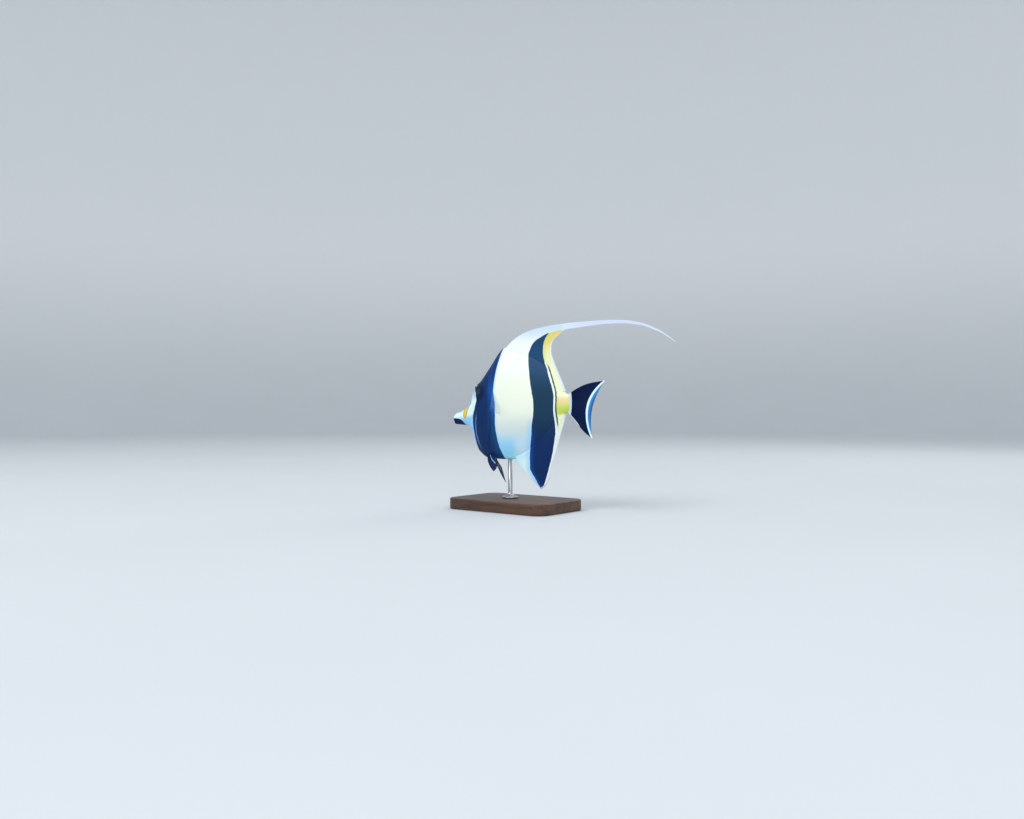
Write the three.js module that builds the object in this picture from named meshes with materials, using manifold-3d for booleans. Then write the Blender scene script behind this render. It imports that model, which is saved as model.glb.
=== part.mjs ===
// A moorish idol, a disc-shaped reef fish, as a still model held up by a rod on a flat base.
// The head points along -X, the left flank faces -Y and the origin is under the middle of the base.
import * as THREE from 'three';
import { mergeVertices } from 'three/addons/utils/BufferGeometryUtils.js';
import Module from 'manifold-3d';

const wasm = await Module();
wasm.setup();

// Driving dimensions in millimetres
const STANDARD_LENGTH = 164; // snout tip to the root of the tail fin
const GAP = 0.3; // between pieces that meet
const BASE_LENGTH = 132;
const BASE_WIDTH = 84;
const BASE_THICKNESS = 12;
const BASE_CORNER = 14;
const BASE_BEVEL = 1.5;
const FIN_CLEARANCE = 12; // from the base up to the lowest fin tip
const ROD_RADIUS = 2.5;
const ROD_FOOT_RADIUS = 9;

// From here on, body sizes are percents of the standard length: s runs back from the snout
// tip, t out to the fish's left and z up from the level of the upper lip.
const PERCENT = STANDARD_LENGTH / 100;
const BALANCE = 54; // s of the point above the middle of the base
const LOWEST_TIP = -48.1; // z of the anal fin's tip
const ROD_PLACE = 50; // s of the rod, just before the anal fin
const GILL_EDGE = 38.7;
const SNOUT_ROOT = 11.6;
const STALK_START = 93.6;
const BODY_END = 100;
const TIP_ROUNDING = 1.6;
const EYE = { s: 26.2, z: 16.8, radius: 3.7 };

// A smooth curve through [place, value] pairs that never overshoots them
function through(points) {
  const steps = points.slice(1).map((p, i) => (p[1] - points[i][1]) / (p[0] - points[i][0]));
  const slopes = points.map((_, i) => {
    const before = steps[Math.max(i - 1, 0)];
    const after = steps[Math.min(i, steps.length - 1)];
    return before * after <= 0 ? 0 : (2 * before * after) / (before + after);
  });
  return (place) => {
    let i = 0;
    while (i < points.length - 2 && place > points[i + 1][0]) i += 1;
    const width = points[i + 1][0] - points[i][0];
    const f = THREE.MathUtils.clamp((place - points[i][0]) / width, 0, 1);
    const bend = f * f * (3 - 2 * f);
    return (
      points[i][1] * (1 - bend) +
      points[i + 1][1] * bend +
      width * f * (1 - f) * (slopes[i] * (1 - f) - slopes[i + 1] * f)
    );
  };
}

const hump = (distance, width) => Math.exp(-((distance / width) ** 2));

// Side outline of the body without its fins
const BACK_LINE = through([
  [0, 0.2], [1.2, 0.9], [4, 2.1], [8, 3.9], [10.5, 5], [13, 5.4], [15.3, 6.8], [17.2, 10], [18.4, 16],
  [19, 19.2], [21, 21.6], [23.6, 23], [32.3, 32.7], [41.2, 43.6], [44.5, 46], [54, 44.5], [66, 42],
  [77.4, 36.8], [85, 29.4], [90, 22], [94, 16.3], [97, 14.2], [100, 13.9],
]);
const BELLY_LINE = through([
  [0, -5.2], [1.2, -6], [5, -6.3], [11, -6.6], [15.5, -8.3], [17.8, -12], [20.2, -18.4], [24.8, -25.3],
  [31.5, -28.9], [46, -29.4], [53, -29.2], [62, -26.6], [72, -20.6], [82, -11.8], [90, -3], [94, 0.8],
  [97, 2.2], [100, 2.7],
]);
const WIDEST_LEVEL = through([
  [0, -2.4], [6, -2], [12, -0.6], [20, 3.2], [30, 6], [45, 6.5], [70, 8], [100, 8.3],
]);
const HALF_WIDTH = through([
  [0, 1.9], [2, 2.3], [6, 2.6], [11, 3.1], [16, 4.6], [24, 6.6], [34, 7.7], [46, 8.3], [58, 8], [70, 6.6],
  [82, 4.4], [92, 2.8], [100, 2],
]);
// How sharp the section is toward the back and the belly, where 1 is an ellipse
const BACK_KEEL = through([[0, 1], [14, 1], [26, 1.15], [45, 1.6], [75, 1.8], [92, 1.3], [100, 1]]);
const BELLY_KEEL = through([[0, 1], [20, 1], [44, 1.15], [56, 1.6], [80, 1.9], [92, 1.3], [100, 1]]);

// How far a ring of the body leans forward at the back and at the belly, so that the rings
// crowd on the steep forehead and chest and one of them is the gill cover's rear edge
const LEAN_ABOVE = through([
  [0, 0], [8, 0], [14, 0.8], [22, 3.6], [30, 5.6], [GILL_EDGE, 5.2], [55, 1.5], [75, 0], [95, 0], [100, 1.4],
]);
const LEAN_BELOW = through([
  [0, 0], [8, 0], [14, 0.6], [28, 6], [GILL_EDGE, 6], [55, 1.5], [75, 0], [95, 0], [100, 1],
]);

// Rings are close on the snout and head, with a pair at the gill cover's edge
const RINGS = 44;
const AROUND = 40;
const STATION = through([
  [0, 0.04], [5, 2.3], [12, 11.4], [28, GILL_EDGE - 0.3], [29, GILL_EDGE + 0.3], [35, 60], [RINGS, BODY_END],
]);

function blunt(s) {
  return s < TIP_ROUNDING ? Math.sqrt(1 - (1 - s / TIP_ROUNDING) ** 2) : 1;
}

function backAt(s) {
  const level = WIDEST_LEVEL(s);
  return level + (BACK_LINE(s) - level) * blunt(s);
}

function bellyAt(s) {
  const level = WIDEST_LEVEL(s);
  return level + (BELLY_LINE(s) - level) * blunt(s);
}

// Lips, brow ridge round the eye, cheek and the raised edge of the gill cover
function relief(s, z) {
  const lips = 0.3 * hump(s - 1, 1) * hump(z + 1.9, 1.3);
  const rim = 0.4 * hump(Math.hypot(s - EYE.s, z - EYE.z) - 0.9 * EYE.radius, 1.5);
  const cheek = 0.35 * hump(s - 27, 6) * hump(z - 1, 9);
  const lean = z > 0 ? LEAN_ABOVE(GILL_EDGE) * (z / 38) ** 2 : LEAN_BELOW(GILL_EDGE) * (z / 29) ** 2;
  const behind = s + lean - GILL_EDGE;
  const cover = behind > 0 ? 0 : 0.4 * hump(behind, 5) * hump(z - 3, 20);
  return lips + rim + cheek + cover;
}

function halfWidthAt(s, z) {
  const level = WIDEST_LEVEL(s);
  const above = z > level;
  const reach = above ? backAt(s) - level : level - bellyAt(s);
  const height = Math.min(1, Math.abs(z - level) / reach);
  const round = 1 - height ** 2;
  const keel = above ? BACK_KEEL(s) : BELLY_KEEL(s);
  return HALF_WIDTH(s) * blunt(s) * round ** (keel / 2) + relief(s, z) * round;
}

// A point of the fish in millimetres
const at = (s, t, z) => new THREE.Vector3(s * PERCENT, -t * PERCENT, z * PERCENT);

// A point on its skin, where side is 1 for the left flank and -1 for the right
const onSkin = (s, z, side) => at(s, side * halfWidthAt(s, z), z);

// A ring's place and level where it crosses the flank, for an angle from the back
function ringPoint(station, angle) {
  const up = Math.cos(angle);
  const lean = (up > 0 ? LEAN_ABOVE : LEAN_BELOW)(station);
  const edge = (up > 0 ? backAt : bellyAt)(station - lean);
  const level = WIDEST_LEVEL(station);
  return { s: station - lean * up ** 2, z: level + (edge - level) * Math.abs(up) };
}

function meshOfGrid(positions, faces) {
  const geometry = new THREE.BufferGeometry();
  geometry.setAttribute('position', new THREE.Float32BufferAttribute(positions, 3));
  geometry.setIndex(faces);
  geometry.computeVertexNormals();
  return geometry;
}

function bodyGeometry() {
  const positions = [];
  const faces = [];
  for (let ring = 0; ring <= RINGS; ring += 1) {
    for (let k = 0; k < AROUND; k += 1) {
      const angle = (2 * Math.PI * k) / AROUND;
      const { s, z } = ringPoint(STATION(ring), angle);
      const keel = k % (AROUND / 2) === 0;
      const side = keel ? 0 : -Math.sign(Math.sin(angle)) * halfWidthAt(s, z);
      positions.push(...at(s, side, z).toArray());
    }
  }
  const corner = (i) => new THREE.Vector3().fromArray(positions, 3 * i);
  const spacing = (i, j) => corner(i).distanceTo(corner(j));
  for (let ring = 0; ring < RINGS; ring += 1) {
    for (let k = 0; k < AROUND; k += 1) {
      const a = ring * AROUND + k;
      const b = ring * AROUND + ((k + 1) % AROUND);
      const [c, d] = [b + AROUND, a + AROUND];
      if (spacing(a, c) < spacing(b, d)) faces.push(a, d, c, a, c, b);
      else faces.push(a, d, b, b, d, c);
    }
  }
  for (const [ring, flip] of [[0, false], [RINGS, true]]) {
    const station = STATION(ring);
    const middle = positions.length / 3;
    positions.push(...at(station, 0, WIDEST_LEVEL(station)).toArray());
    for (let k = 0; k < AROUND; k += 1) {
      const a = ring * AROUND + k;
      const b = ring * AROUND + ((k + 1) % AROUND);
      faces.push(...(flip ? [middle, b, a] : [middle, a, b]));
    }
  }
  return meshOfGrid(positions, faces);
}

// The same surface moved out along its normals, further at the two keels
function grown(geometry, distance) {
  const copy = geometry.clone();
  const { position, normal } = copy.attributes;
  for (let i = 0; i < position.count; i += 1) {
    const keel = Math.abs(position.getY(i)) < 1e-6;
    const move = distance * (keel ? 1.5 : 1);
    position.setXYZ(
      i,
      position.getX(i) + move * normal.getX(i),
      position.getY(i) + move * normal.getY(i),
      position.getZ(i) + move * normal.getZ(i),
    );
  }
  return copy;
}

function solidOf(geometry, matrix = new THREE.Matrix4()) {
  const bare = geometry.clone().applyMatrix4(matrix);
  bare.deleteAttribute('normal');
  bare.deleteAttribute('uv');
  const merged = mergeVertices(bare, 1e-4);
  const vertProperties = new Float32Array(merged.attributes.position.array);
  const triVerts = new Uint32Array(merged.index.array);
  return new wasm.Manifold(new wasm.Mesh({ numProp: 3, vertProperties, triVerts }));
}

const byVolume = (a, b) => b.volume() - a.volume();

function geometryOf(solid) {
  const { vertProperties, triVerts } = solid.decompose().sort(byVolume)[0].getMesh();
  const geometry = new THREE.BufferGeometry();
  geometry.setAttribute('position', new THREE.BufferAttribute(vertProperties, 3));
  geometry.setIndex(new THREE.BufferAttribute(triVerts, 1));
  geometry.computeVertexNormals();
  return geometry;
}

// A thin wall across the body that follows points [s, z] of the side view
function cutWall(points) {
  const curve = new THREE.SplineCurve(points.map(([s, z]) => new THREE.Vector2(s * PERCENT, z * PERCENT)));
  const count = 3 * points.length;
  const sides = [[], []];
  for (let i = 0; i <= count; i += 1) {
    const p = curve.getPoint(i / count);
    const tangent = curve.getTangent(i / count);
    const across = new THREE.Vector2(-tangent.y, tangent.x).multiplyScalar(GAP / 2);
    sides[0].push(p.clone().add(across));
    sides[1].unshift(p.clone().sub(across));
  }
  const depth = 24 * PERCENT;
  const wall = new THREE.ExtrudeGeometry(new THREE.Shape(sides.flat()), { depth, bevelEnabled: false });
  wall.rotateX(Math.PI / 2).translate(0, depth / 2, 0);
  return solidOf(wall);
}

// The wall that follows one ring of the body, from above the back to below the belly
function ringWall(station) {
  const steps = [0, 0.2, 0.35, 0.5, 0.65, 0.8, 1];
  const points = steps.map((step) => ringPoint(station, step * Math.PI)).map(({ s, z }) => [s, z]);
  const [top, second] = points;
  const [beforeLast, last] = points.slice(-2);
  const beyond = (from, to) => [to[0] + (to[0] - from[0]) * 0.4, to[1] + Math.sign(to[1] - from[1]) * 3];
  return cutWall([beyond(second, top), ...points, beyond(beforeLast, last)]);
}

const LOWER_JAW_LINE = [[-3, -1.6], [0, -1.8], [3, -2.3], [5.4, -3.4], [7.8, -5.2], [9.8, -9]];

// Cuts a solid in two and gives the pieces in order along an axis, 0 for X and 2 for Z
function parted(solid, wall, axis) {
  const middle = (piece) => piece.boundingBox().min[axis] + piece.boundingBox().max[axis];
  const pieces = solid.subtract(wall).decompose().sort(byVolume).slice(0, 2);
  return pieces.sort((a, b) => middle(a) - middle(b));
}

function skinNormal(s, z, side) {
  const step = 0.6;
  const along = onSkin(s + step, z, side).sub(onSkin(s - step, z, side));
  const up = onSkin(s, z + step, side).sub(onSkin(s, z - step, side));
  return along.cross(up).multiplyScalar(side).normalize();
}

// Where an eyeball sits: its flat axis follows the skin and it stands out a little
function eyePlace(side) {
  const normal = skinNormal(EYE.s, EYE.z, side);
  const flatness = 0.62;
  const standout = 0.16;
  const radius = EYE.radius * PERCENT;
  const centre = onSkin(EYE.s, EYE.z, side).addScaledVector(normal, radius * (standout - flatness));
  const turn = new THREE.Quaternion().setFromUnitVectors(new THREE.Vector3(0, 1, 0), normal);
  return { centre, turn, radius, flatness };
}

function eyeGeometry(radius, flatness) {
  return new THREE.SphereGeometry(radius, 20, 10).scale(1, flatness, 1);
}

const SIDES = { left: 1, right: -1 };
const NOSTRILS = [{ s: 21, z: 14.4, radius: 0.42 }, { s: 22.2, z: 12.7, radius: 0.34 }];

function sockets() {
  return Object.values(SIDES).map((side) => {
    const { centre, turn, radius, flatness } = eyePlace(side);
    const matrix = new THREE.Matrix4().compose(centre, turn, new THREE.Vector3(1, 1, 1));
    return solidOf(eyeGeometry(radius + GAP, flatness), matrix);
  });
}

function nostrilPits() {
  return Object.values(SIDES).flatMap((side) =>
    NOSTRILS.map(({ s, z, radius }) => {
      const pit = new THREE.SphereGeometry(radius * PERCENT, 10, 8);
      return solidOf(pit, new THREE.Matrix4().makeTranslation(onSkin(s, z, side)));
    }),
  );
}

// A thin blade whose rays run from its root, v = 0, to its margin, v = 1. Each ray is a ridge
// between two strips of membrane, and both faces are split into triangles alike.
function bladeGeometry({ rays, rows, middle, membrane, ridge }) {
  const lines = 2 * rays + 1;
  const positions = [[], []];
  const step = 0.01;
  const spot = (u, v) => middle(THREE.MathUtils.clamp(u, 0, 1), THREE.MathUtils.clamp(v, 0, 1));
  for (let i = 0; i < lines; i += 1) {
    for (let j = 0; j <= rows; j += 1) {
      const u = i / (lines - 1);
      const v = j / rows;
      const across = spot(u + step, v).sub(spot(u - step, v));
      const along = spot(u, v + step).sub(spot(u, v - step));
      const normal = across.cross(along).normalize();
      const half = membrane(u, v) + (i % 2 === 1 ? ridge(u, v) : 0);
      positions[0].push(...middle(u, v).addScaledVector(normal, half).toArray());
      positions[1].push(...middle(u, v).addScaledVector(normal, -half).toArray());
    }
  }
  const faces = [];
  const back = lines * (rows + 1);
  const id = (i, j) => i * (rows + 1) + j;
  for (let i = 0; i < lines - 1; i += 1) {
    for (let j = 0; j < rows; j += 1) {
      const [a, b, c, d] = [id(i, j), id(i + 1, j), id(i + 1, j + 1), id(i, j + 1)];
      faces.push(a, b, c, a, c, d);
      faces.push(back + a, back + c, back + b, back + a, back + d, back + c);
    }
  }
  const edge = [];
  for (let i = 0; i < lines - 1; i += 1) edge.push(id(i, 0));
  for (let j = 0; j < rows; j += 1) edge.push(id(lines - 1, j));
  for (let i = lines - 1; i > 0; i -= 1) edge.push(id(i, rows));
  for (let j = rows; j > 0; j -= 1) edge.push(id(0, j));
  edge.forEach((a, n) => {
    const b = edge[(n + 1) % edge.length];
    faces.push(a, back + b, b, a, back + a, back + b);
  });
  return meshOfGrid(positions.flat(), faces);
}

const lerp = THREE.MathUtils.lerp;
const smoothstep = THREE.MathUtils.smoothstep;

// Half thicknesses in millimetres: thick where the fin grows from the body, thin at the margin.
// The rays of the two tall fins rise out of the fleshy root.
const finTaper = (root, margin) => (u, v) => lerp(margin, root, (1 - v) ** 3);
const rayTaper = (height) => (u, v) => height * (1 - 0.75 * v);
const risingRays = (height) => (u, v) => rayTaper(height)(u, v) * smoothstep(v, 0, 0.25);

function marginCurve(points) {
  return new THREE.CatmullRomCurve3(points.map(([s, z]) => at(s, 0, z)), false, 'centripetal');
}

// A fin of the middle plane: the base follows the body between two places, the ray tips follow
// the margin, and the front rays bow toward the leading edge
function middleFin({ baseLine, from, to, sunk, margin, crowding, bow, ...blade }) {
  const curve = marginCurve(margin);
  const middle = (u, v) => {
    const s = lerp(from, to, u);
    const point = at(s, 0, baseLine(s)).lerp(curve.getPointAt(u ** crowding), v);
    const rise = bow * (1 - u) ** 2 * Math.sin(Math.PI * v ** 0.7) + sunk * (1 - v) ** 8;
    point.z += rise * PERCENT;
    return point;
  };
  return bladeGeometry({ middle, ...blade });
}

const dorsalGeometry = () => middleFin({
  baseLine: BACK_LINE,
  from: 44.6,
  to: 94,
  sunk: -1.6,
  margin: [
    [96, 59.9], [96, 57.4], [95.6, 56], [93, 54.7], [89.4, 52.5], [85.8, 49.6], [84.1, 46],
    [84, 41.5], [86.3, 35], [90.2, 26.6], [93.4, 20.1], [95.2, 15.6],
  ],
  crowding: 1.5,
  bow: 4.8,
  rays: 20,
  rows: 8,
  membrane: finTaper(1.1, 0.3),
  ridge: risingRays(0.4),
});

const analGeometry = () => middleFin({
  baseLine: BELLY_LINE,
  from: 54.5,
  to: 94.4,
  sunk: 1.6,
  margin: [
    [75.8, LOWEST_TIP], [78, -46.9], [81.4, -43], [82.8, -38.6], [84.2, -32], [87, -25.4], [91.6, -11.6],
    [94.3, -3.8], [95.4, 1.4],
  ],
  crowding: 1.3,
  bow: -1.2,
  rays: 17,
  rows: 7,
  membrane: finTaper(1.1, 0.3),
  ridge: risingRays(0.4),
});

// The long filament of the dorsal fin, trailing behind it in the middle plane
const STREAMER_START = 96;
const STREAMER_TIP = 174;
const STREAMER_TOP = through([[96, 59.9], [121, 60.1], [136, 59.5], [150, 57.2], [164, 51.4], [174, 44.6]]);
const STREAMER_DEPTH = through([[96, 4.2], [108, 3.5], [125, 2.6], [150, 1.8], [166, 1], [174, 0.4]]);

function streamerGeometry() {
  const middle = (u, v) => {
    const s = lerp(STREAMER_START + GAP / PERCENT, STREAMER_TIP, v);
    return at(s, 0, STREAMER_TOP(s) - u * STREAMER_DEPTH(s));
  };
  return bladeGeometry({
    rays: 2,
    rows: 20,
    middle,
    membrane: (u, v) => lerp(0.4, 0.25, v),
    ridge: (u, v) => (u < 0.5 ? lerp(0.35, 0.1, v) : lerp(0.12, 0.04, v)),
  });
}

// The tail fin opens behind the stalk, turned about the body's axis as in a slow stroke
const TAIL = {
  root: 98.6, level: 8.3, rootHalf: 5.2, tipHalf: 19.8, notch: 17.2, lobe: 5, fullness: 1.6,
  droop: 10, twist: 22,
};

function tailGeometry() {
  const middle = (u, v) => {
    const spread = 1 - 2 * u;
    const length = TAIL.notch + TAIL.lobe * spread ** 2 - 1.3 * spread ** 2 * (1 - v);
    const rise = spread * (lerp(TAIL.rootHalf, TAIL.tipHalf, v) + TAIL.fullness * Math.sin(Math.PI * v));
    const twist = THREE.MathUtils.degToRad(TAIL.twist) * smoothstep(v, 0, 1);
    const drop = Math.tan(THREE.MathUtils.degToRad(TAIL.droop)) * length * v;
    const s = TAIL.root + length * v - 1.3 * spread ** 2 * (1 - v);
    return at(s, -rise * Math.sin(twist), TAIL.level + rise * Math.cos(twist) - drop);
  };
  return bladeGeometry({
    rays: 15,
    rows: 6,
    middle,
    membrane: finTaper(2.2, 0.3),
    ridge: rayTaper(0.4),
  });
}

// A paired fin is a fan in its own XZ plane: its rays leave a short base and open from the
// first, longest ray to the last
function fanGeometry({ base, first, last, firstAngle, lastAngle, bend, cup, rays, rows, root }, side) {
  const middle = (u, v) => {
    const angle = THREE.MathUtils.degToRad(lerp(firstAngle, lastAngle, u) + bend * v);
    const length = lerp(first, last, u ** 1.2) * v;
    const x = Math.cos(angle) * length;
    const z = Math.sin(angle) * length + base * (0.5 - u) * Math.sign(firstAngle - lastAngle);
    const y = side * cup * (length / first) ** 2 * (0.4 + Math.sin(Math.PI * u));
    return new THREE.Vector3(x, y, z).multiplyScalar(PERCENT);
  };
  return bladeGeometry({ rays, rows, middle, membrane: finTaper(root, 0.28), ridge: rayTaper(0.28) });
}

const PECTORAL = { s: 39.8, z: 2.4, sunk: 1, color: 0x5a7490 };
const PECTORAL_TIP = { s: 52, t: 18.5, z: 16 };
const PECTORAL_CLOSES_TO = { s: 0.95, t: 0.3, z: 0 };
const PECTORAL_FAN = {
  base: 4.6, first: 20.5, last: 7.5, firstAngle: -2, lastAngle: 38, bend: 4, cup: 0.8,
  rays: 10, rows: 5, root: 0.8,
};

const PELVIC = { s: 33.8, t: 2.3, z: -26, color: 0x20262e };
const PELVIC_FAN = { base: 2.6, cup: 0.5, rays: 5, rows: 5, root: 0.8 };
const PELVIC_FANS = {
  left: { ...PELVIC_FAN, first: 17.4, last: 9, firstAngle: -12, lastAngle: 4, bend: 20 },
  right: { ...PELVIC_FAN, first: 22, last: 11, firstAngle: -20, lastAngle: -6, bend: 32 },
};
const PELVIC_TIPS = { left: { s: 43, t: 11, z: -37 }, right: { s: 40, t: -6.5, z: -45.4 } };
const PELVIC_CLOSES_TO = { s: 0.8, t: -0.6, z: 0.2 };

// Small bony horn before each eye
const HORN = { s: 23.2, z: 20.3, length: 3.6, radius: 1.1, sunk: 1.4 };

function hornGeometry() {
  const profile = [[0, 0], [1, 0], [0.86, 0.35], [0.62, 0.7], [0.34, 0.93], [0, 1]];
  const [radius, length] = [HORN.radius * PERCENT, HORN.length * PERCENT];
  return new THREE.LatheGeometry(profile.map(([r, h]) => new THREE.Vector2(r * radius, h * length)), 12);
}

function standBaseGeometry() {
  const [x, y] = [BASE_LENGTH / 2 - BASE_BEVEL, BASE_WIDTH / 2 - BASE_BEVEL];
  const corner = BASE_CORNER - BASE_BEVEL;
  const outline = new THREE.Shape();
  outline.moveTo(-x + corner, -y);
  outline.lineTo(x - corner, -y);
  outline.absarc(x - corner, -y + corner, corner, -Math.PI / 2, 0);
  outline.lineTo(x, y - corner);
  outline.absarc(x - corner, y - corner, corner, 0, Math.PI / 2);
  outline.lineTo(-x + corner, y);
  outline.absarc(-x + corner, y - corner, corner, Math.PI / 2, Math.PI);
  outline.lineTo(-x, -y + corner);
  outline.absarc(-x + corner, -y + corner, corner, Math.PI, 1.5 * Math.PI);
  return new THREE.ExtrudeGeometry(outline, {
    depth: BASE_THICKNESS - 2 * BASE_BEVEL,
    bevelSize: BASE_BEVEL,
    bevelThickness: BASE_BEVEL,
    bevelSegments: 3,
    curveSegments: 8,
  }).translate(0, 0, BASE_BEVEL);
}

// The rod with the turned foot that carries it
function rodGeometry(length) {
  const profile = [
    [0, 0], [ROD_FOOT_RADIUS, 0], [ROD_FOOT_RADIUS, 1.6], [ROD_FOOT_RADIUS - 0.8, 2.4],
    [ROD_RADIUS + 1.8, 3.4], [ROD_RADIUS + 0.5, 4.6], [ROD_RADIUS, 6.4], [ROD_RADIUS, length], [0, length],
  ];
  return new THREE.LatheGeometry(profile.map(([r, h]) => new THREE.Vector2(r, h)), 24).rotateX(Math.PI / 2);
}

function paint(color, roughness, metalness = 0) {
  return new THREE.MeshStandardMaterial({ color, roughness, metalness });
}

const model = new THREE.Group();
const fish = new THREE.Group();
const stand = new THREE.Group();
model.add(fish, stand);
const snoutHeight = BASE_THICKNESS + FIN_CLEARANCE - LOWEST_TIP * PERCENT;
fish.position.set(-BALANCE * PERCENT, 0, snoutHeight);

function add(group, name, geometry, material) {
  const mesh = new THREE.Mesh(geometry, material);
  mesh.name = name;
  group.add(mesh);
  return mesh;
}

const body = bodyGeometry();
const whole = solidOf(body);
const cutter = solidOf(grown(body, GAP));

// The body whole, then parted with thin cuts
const [front, rear] = parted(whole, ringWall(GILL_EDGE), 0);
const [torso, stalk] = parted(rear, ringWall(STALK_START), 0);
const [muzzle, skull] = parted(front, ringWall(SNOUT_ROOT), 0);
const [lowerJaw, snout] = parted(muzzle, cutWall(LOWER_JAW_LINE), 2);
const head = [...sockets(), ...nostrilPits()].reduce((solid, pit) => solid.subtract(pit), skull);
add(fish, 'head', geometryOf(head), paint(0xd9d6c4, 0.5));
add(fish, 'snout', geometryOf(snout), paint(0xe8a33c, 0.5));
add(fish, 'lower_jaw', geometryOf(lowerJaw), paint(0x15181c, 0.45));
add(fish, 'torso', geometryOf(torso), paint(0xe6e2c8, 0.5));
add(fish, 'tail_stalk', geometryOf(stalk), paint(0xe6c84e, 0.5));

for (const [name, side] of Object.entries(SIDES)) {
  const { centre, turn, radius, flatness } = eyePlace(side);
  const eye = add(fish, `eye_${name}`, eyeGeometry(radius, flatness), paint(0x2a2018, 0.15));
  eye.position.copy(centre);
  eye.quaternion.copy(turn);
}

// Trims a placed piece to the body's skin, less the gap
function trimToSkin(mesh) {
  mesh.updateMatrix();
  const trimmed = geometryOf(solidOf(mesh.geometry, mesh.matrix).subtract(cutter));
  mesh.geometry = trimmed.applyMatrix4(mesh.matrix.clone().invert());
}

for (const [name, side] of Object.entries(SIDES)) {
  const horn = add(fish, `horn_${name}`, hornGeometry(), paint(0x8d8f8c, 0.55));
  const out = new THREE.Vector3(-0.55, -0.5 * side, 0.66).normalize();
  horn.quaternion.setFromUnitVectors(new THREE.Vector3(0, 1, 0), out);
  horn.position.copy(onSkin(HORN.s, HORN.z, side).addScaledVector(out, -HORN.sunk * PERCENT));
  trimToSkin(horn);
}

const finPaint = paint(0xe9e6cc, 0.45);
trimToSkin(add(fish, 'dorsal_fin', dorsalGeometry(), finPaint));
add(fish, 'dorsal_streamer', streamerGeometry(), paint(0xeef2f2, 0.45));
trimToSkin(add(fish, 'anal_fin', analGeometry(), paint(0x1c2126, 0.5)));
trimToSkin(add(fish, 'tail_fin', tailGeometry(), paint(0x17191d, 0.5)));

// Turns a fan so that its X axis, the first ray, points one way and its Z axis leans to another
function aim(mesh, out, toward) {
  const z = toward.clone().addScaledVector(out, -toward.dot(out)).normalize();
  const y = z.clone().cross(out);
  mesh.quaternion.setFromRotationMatrix(new THREE.Matrix4().makeBasis(out, y, z));
}

function addPairedFin(name, side, fan, root, tip, closesTo, color) {
  const fin = add(fish, name, fanGeometry(fan, side), paint(color, 0.45));
  const first = at(tip.s, tip.t, tip.z).sub(root).normalize();
  aim(fin, first, at(closesTo.s, side * closesTo.t, closesTo.z));
  fin.position.copy(root);
  trimToSkin(fin);
}

for (const [name, side] of Object.entries(SIDES)) {
  const { s, z, sunk, color } = PECTORAL;
  const root = at(s, side * (halfWidthAt(s, z) - sunk), z);
  const tip = { ...PECTORAL_TIP, t: side * PECTORAL_TIP.t };
  addPairedFin(`pectoral_fin_${name}`, side, PECTORAL_FAN, root, tip, PECTORAL_CLOSES_TO, color);
}

for (const [name, side] of Object.entries(SIDES)) {
  const { s, t, z, color } = PELVIC;
  const root = at(s, side * t, z);
  addPairedFin(`pelvic_fin_${name}`, side, PELVIC_FANS[name], root, PELVIC_TIPS[name], PELVIC_CLOSES_TO, color);
}

add(stand, 'stand_base', standBaseGeometry(), paint(0x3b2a20, 0.45));
const rodHeight = snoutHeight + (bellyAt(ROD_PLACE) + 1) * PERCENT - BASE_THICKNESS - GAP;
const rod = add(stand, 'stand_rod', rodGeometry(rodHeight), paint(0xb8bcc0, 0.3, 1));
rod.position.set((ROD_PLACE - BALANCE) * PERCENT, 0, BASE_THICKNESS + GAP);
const fromFish = new THREE.Matrix4().makeTranslation(rod.position.clone().sub(fish.position));
rod.geometry = geometryOf(solidOf(rod.geometry, fromFish).subtract(cutter)).applyMatrix4(fromFish.invert());

export default model;
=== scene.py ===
"""A moorish idol as a museum model on its stand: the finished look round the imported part."""
import math
from bisect import bisect_right

import bmesh
import bpy
from mathutils import Matrix, Vector


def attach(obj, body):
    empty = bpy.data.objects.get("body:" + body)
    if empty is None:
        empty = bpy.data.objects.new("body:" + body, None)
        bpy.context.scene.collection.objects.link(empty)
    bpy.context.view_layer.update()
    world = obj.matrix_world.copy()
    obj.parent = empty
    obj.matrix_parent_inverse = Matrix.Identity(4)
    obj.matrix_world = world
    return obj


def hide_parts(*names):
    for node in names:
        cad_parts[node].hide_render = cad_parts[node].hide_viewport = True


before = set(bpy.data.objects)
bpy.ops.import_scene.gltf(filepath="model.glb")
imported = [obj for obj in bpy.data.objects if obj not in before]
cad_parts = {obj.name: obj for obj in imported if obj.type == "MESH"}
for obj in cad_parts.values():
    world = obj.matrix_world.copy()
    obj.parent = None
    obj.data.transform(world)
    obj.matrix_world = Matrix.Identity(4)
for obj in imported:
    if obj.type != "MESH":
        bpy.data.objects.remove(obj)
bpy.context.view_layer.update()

# Body sizes are percents of the standard length, as in the part's source: s runs back from the
# snout tip, t out to the fish's left and z up from the level of the upper lip.
PERCENT = 0.00164
MM = 0.001
BALANCE = 54.0
SNOUT_HEIGHT = 0.102884
BODY_END = 100.0
TIP_ROUNDING = 1.6
END_CLOSING = 3.5
GILL_EDGE, GILL_TOP, GILL_BOTTOM = 38.7, 38, -29
EYE_S, EYE_Z, EYE_RADIUS = 26.2, 16.8, 3.7
EYE_FLATNESS, EYE_STANDOUT = 0.62, 0.16
SIDES = {"left": 1, "right": -1}
SAME_POINT = 1e-7
TINY = 1e-9


def at(s, t, z):
    """A point of the fish in metres."""
    return Vector(((s - BALANCE) * PERCENT, -t * PERCENT, SNOUT_HEIGHT + z * PERCENT))


def direction(s, t, z):
    return Vector((s, -t, z))


def lerp(a, b, f):
    return a + (b - a) * f


def clamp(value, low=0.0, high=1.0):
    return min(max(value, low), high)


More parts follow.
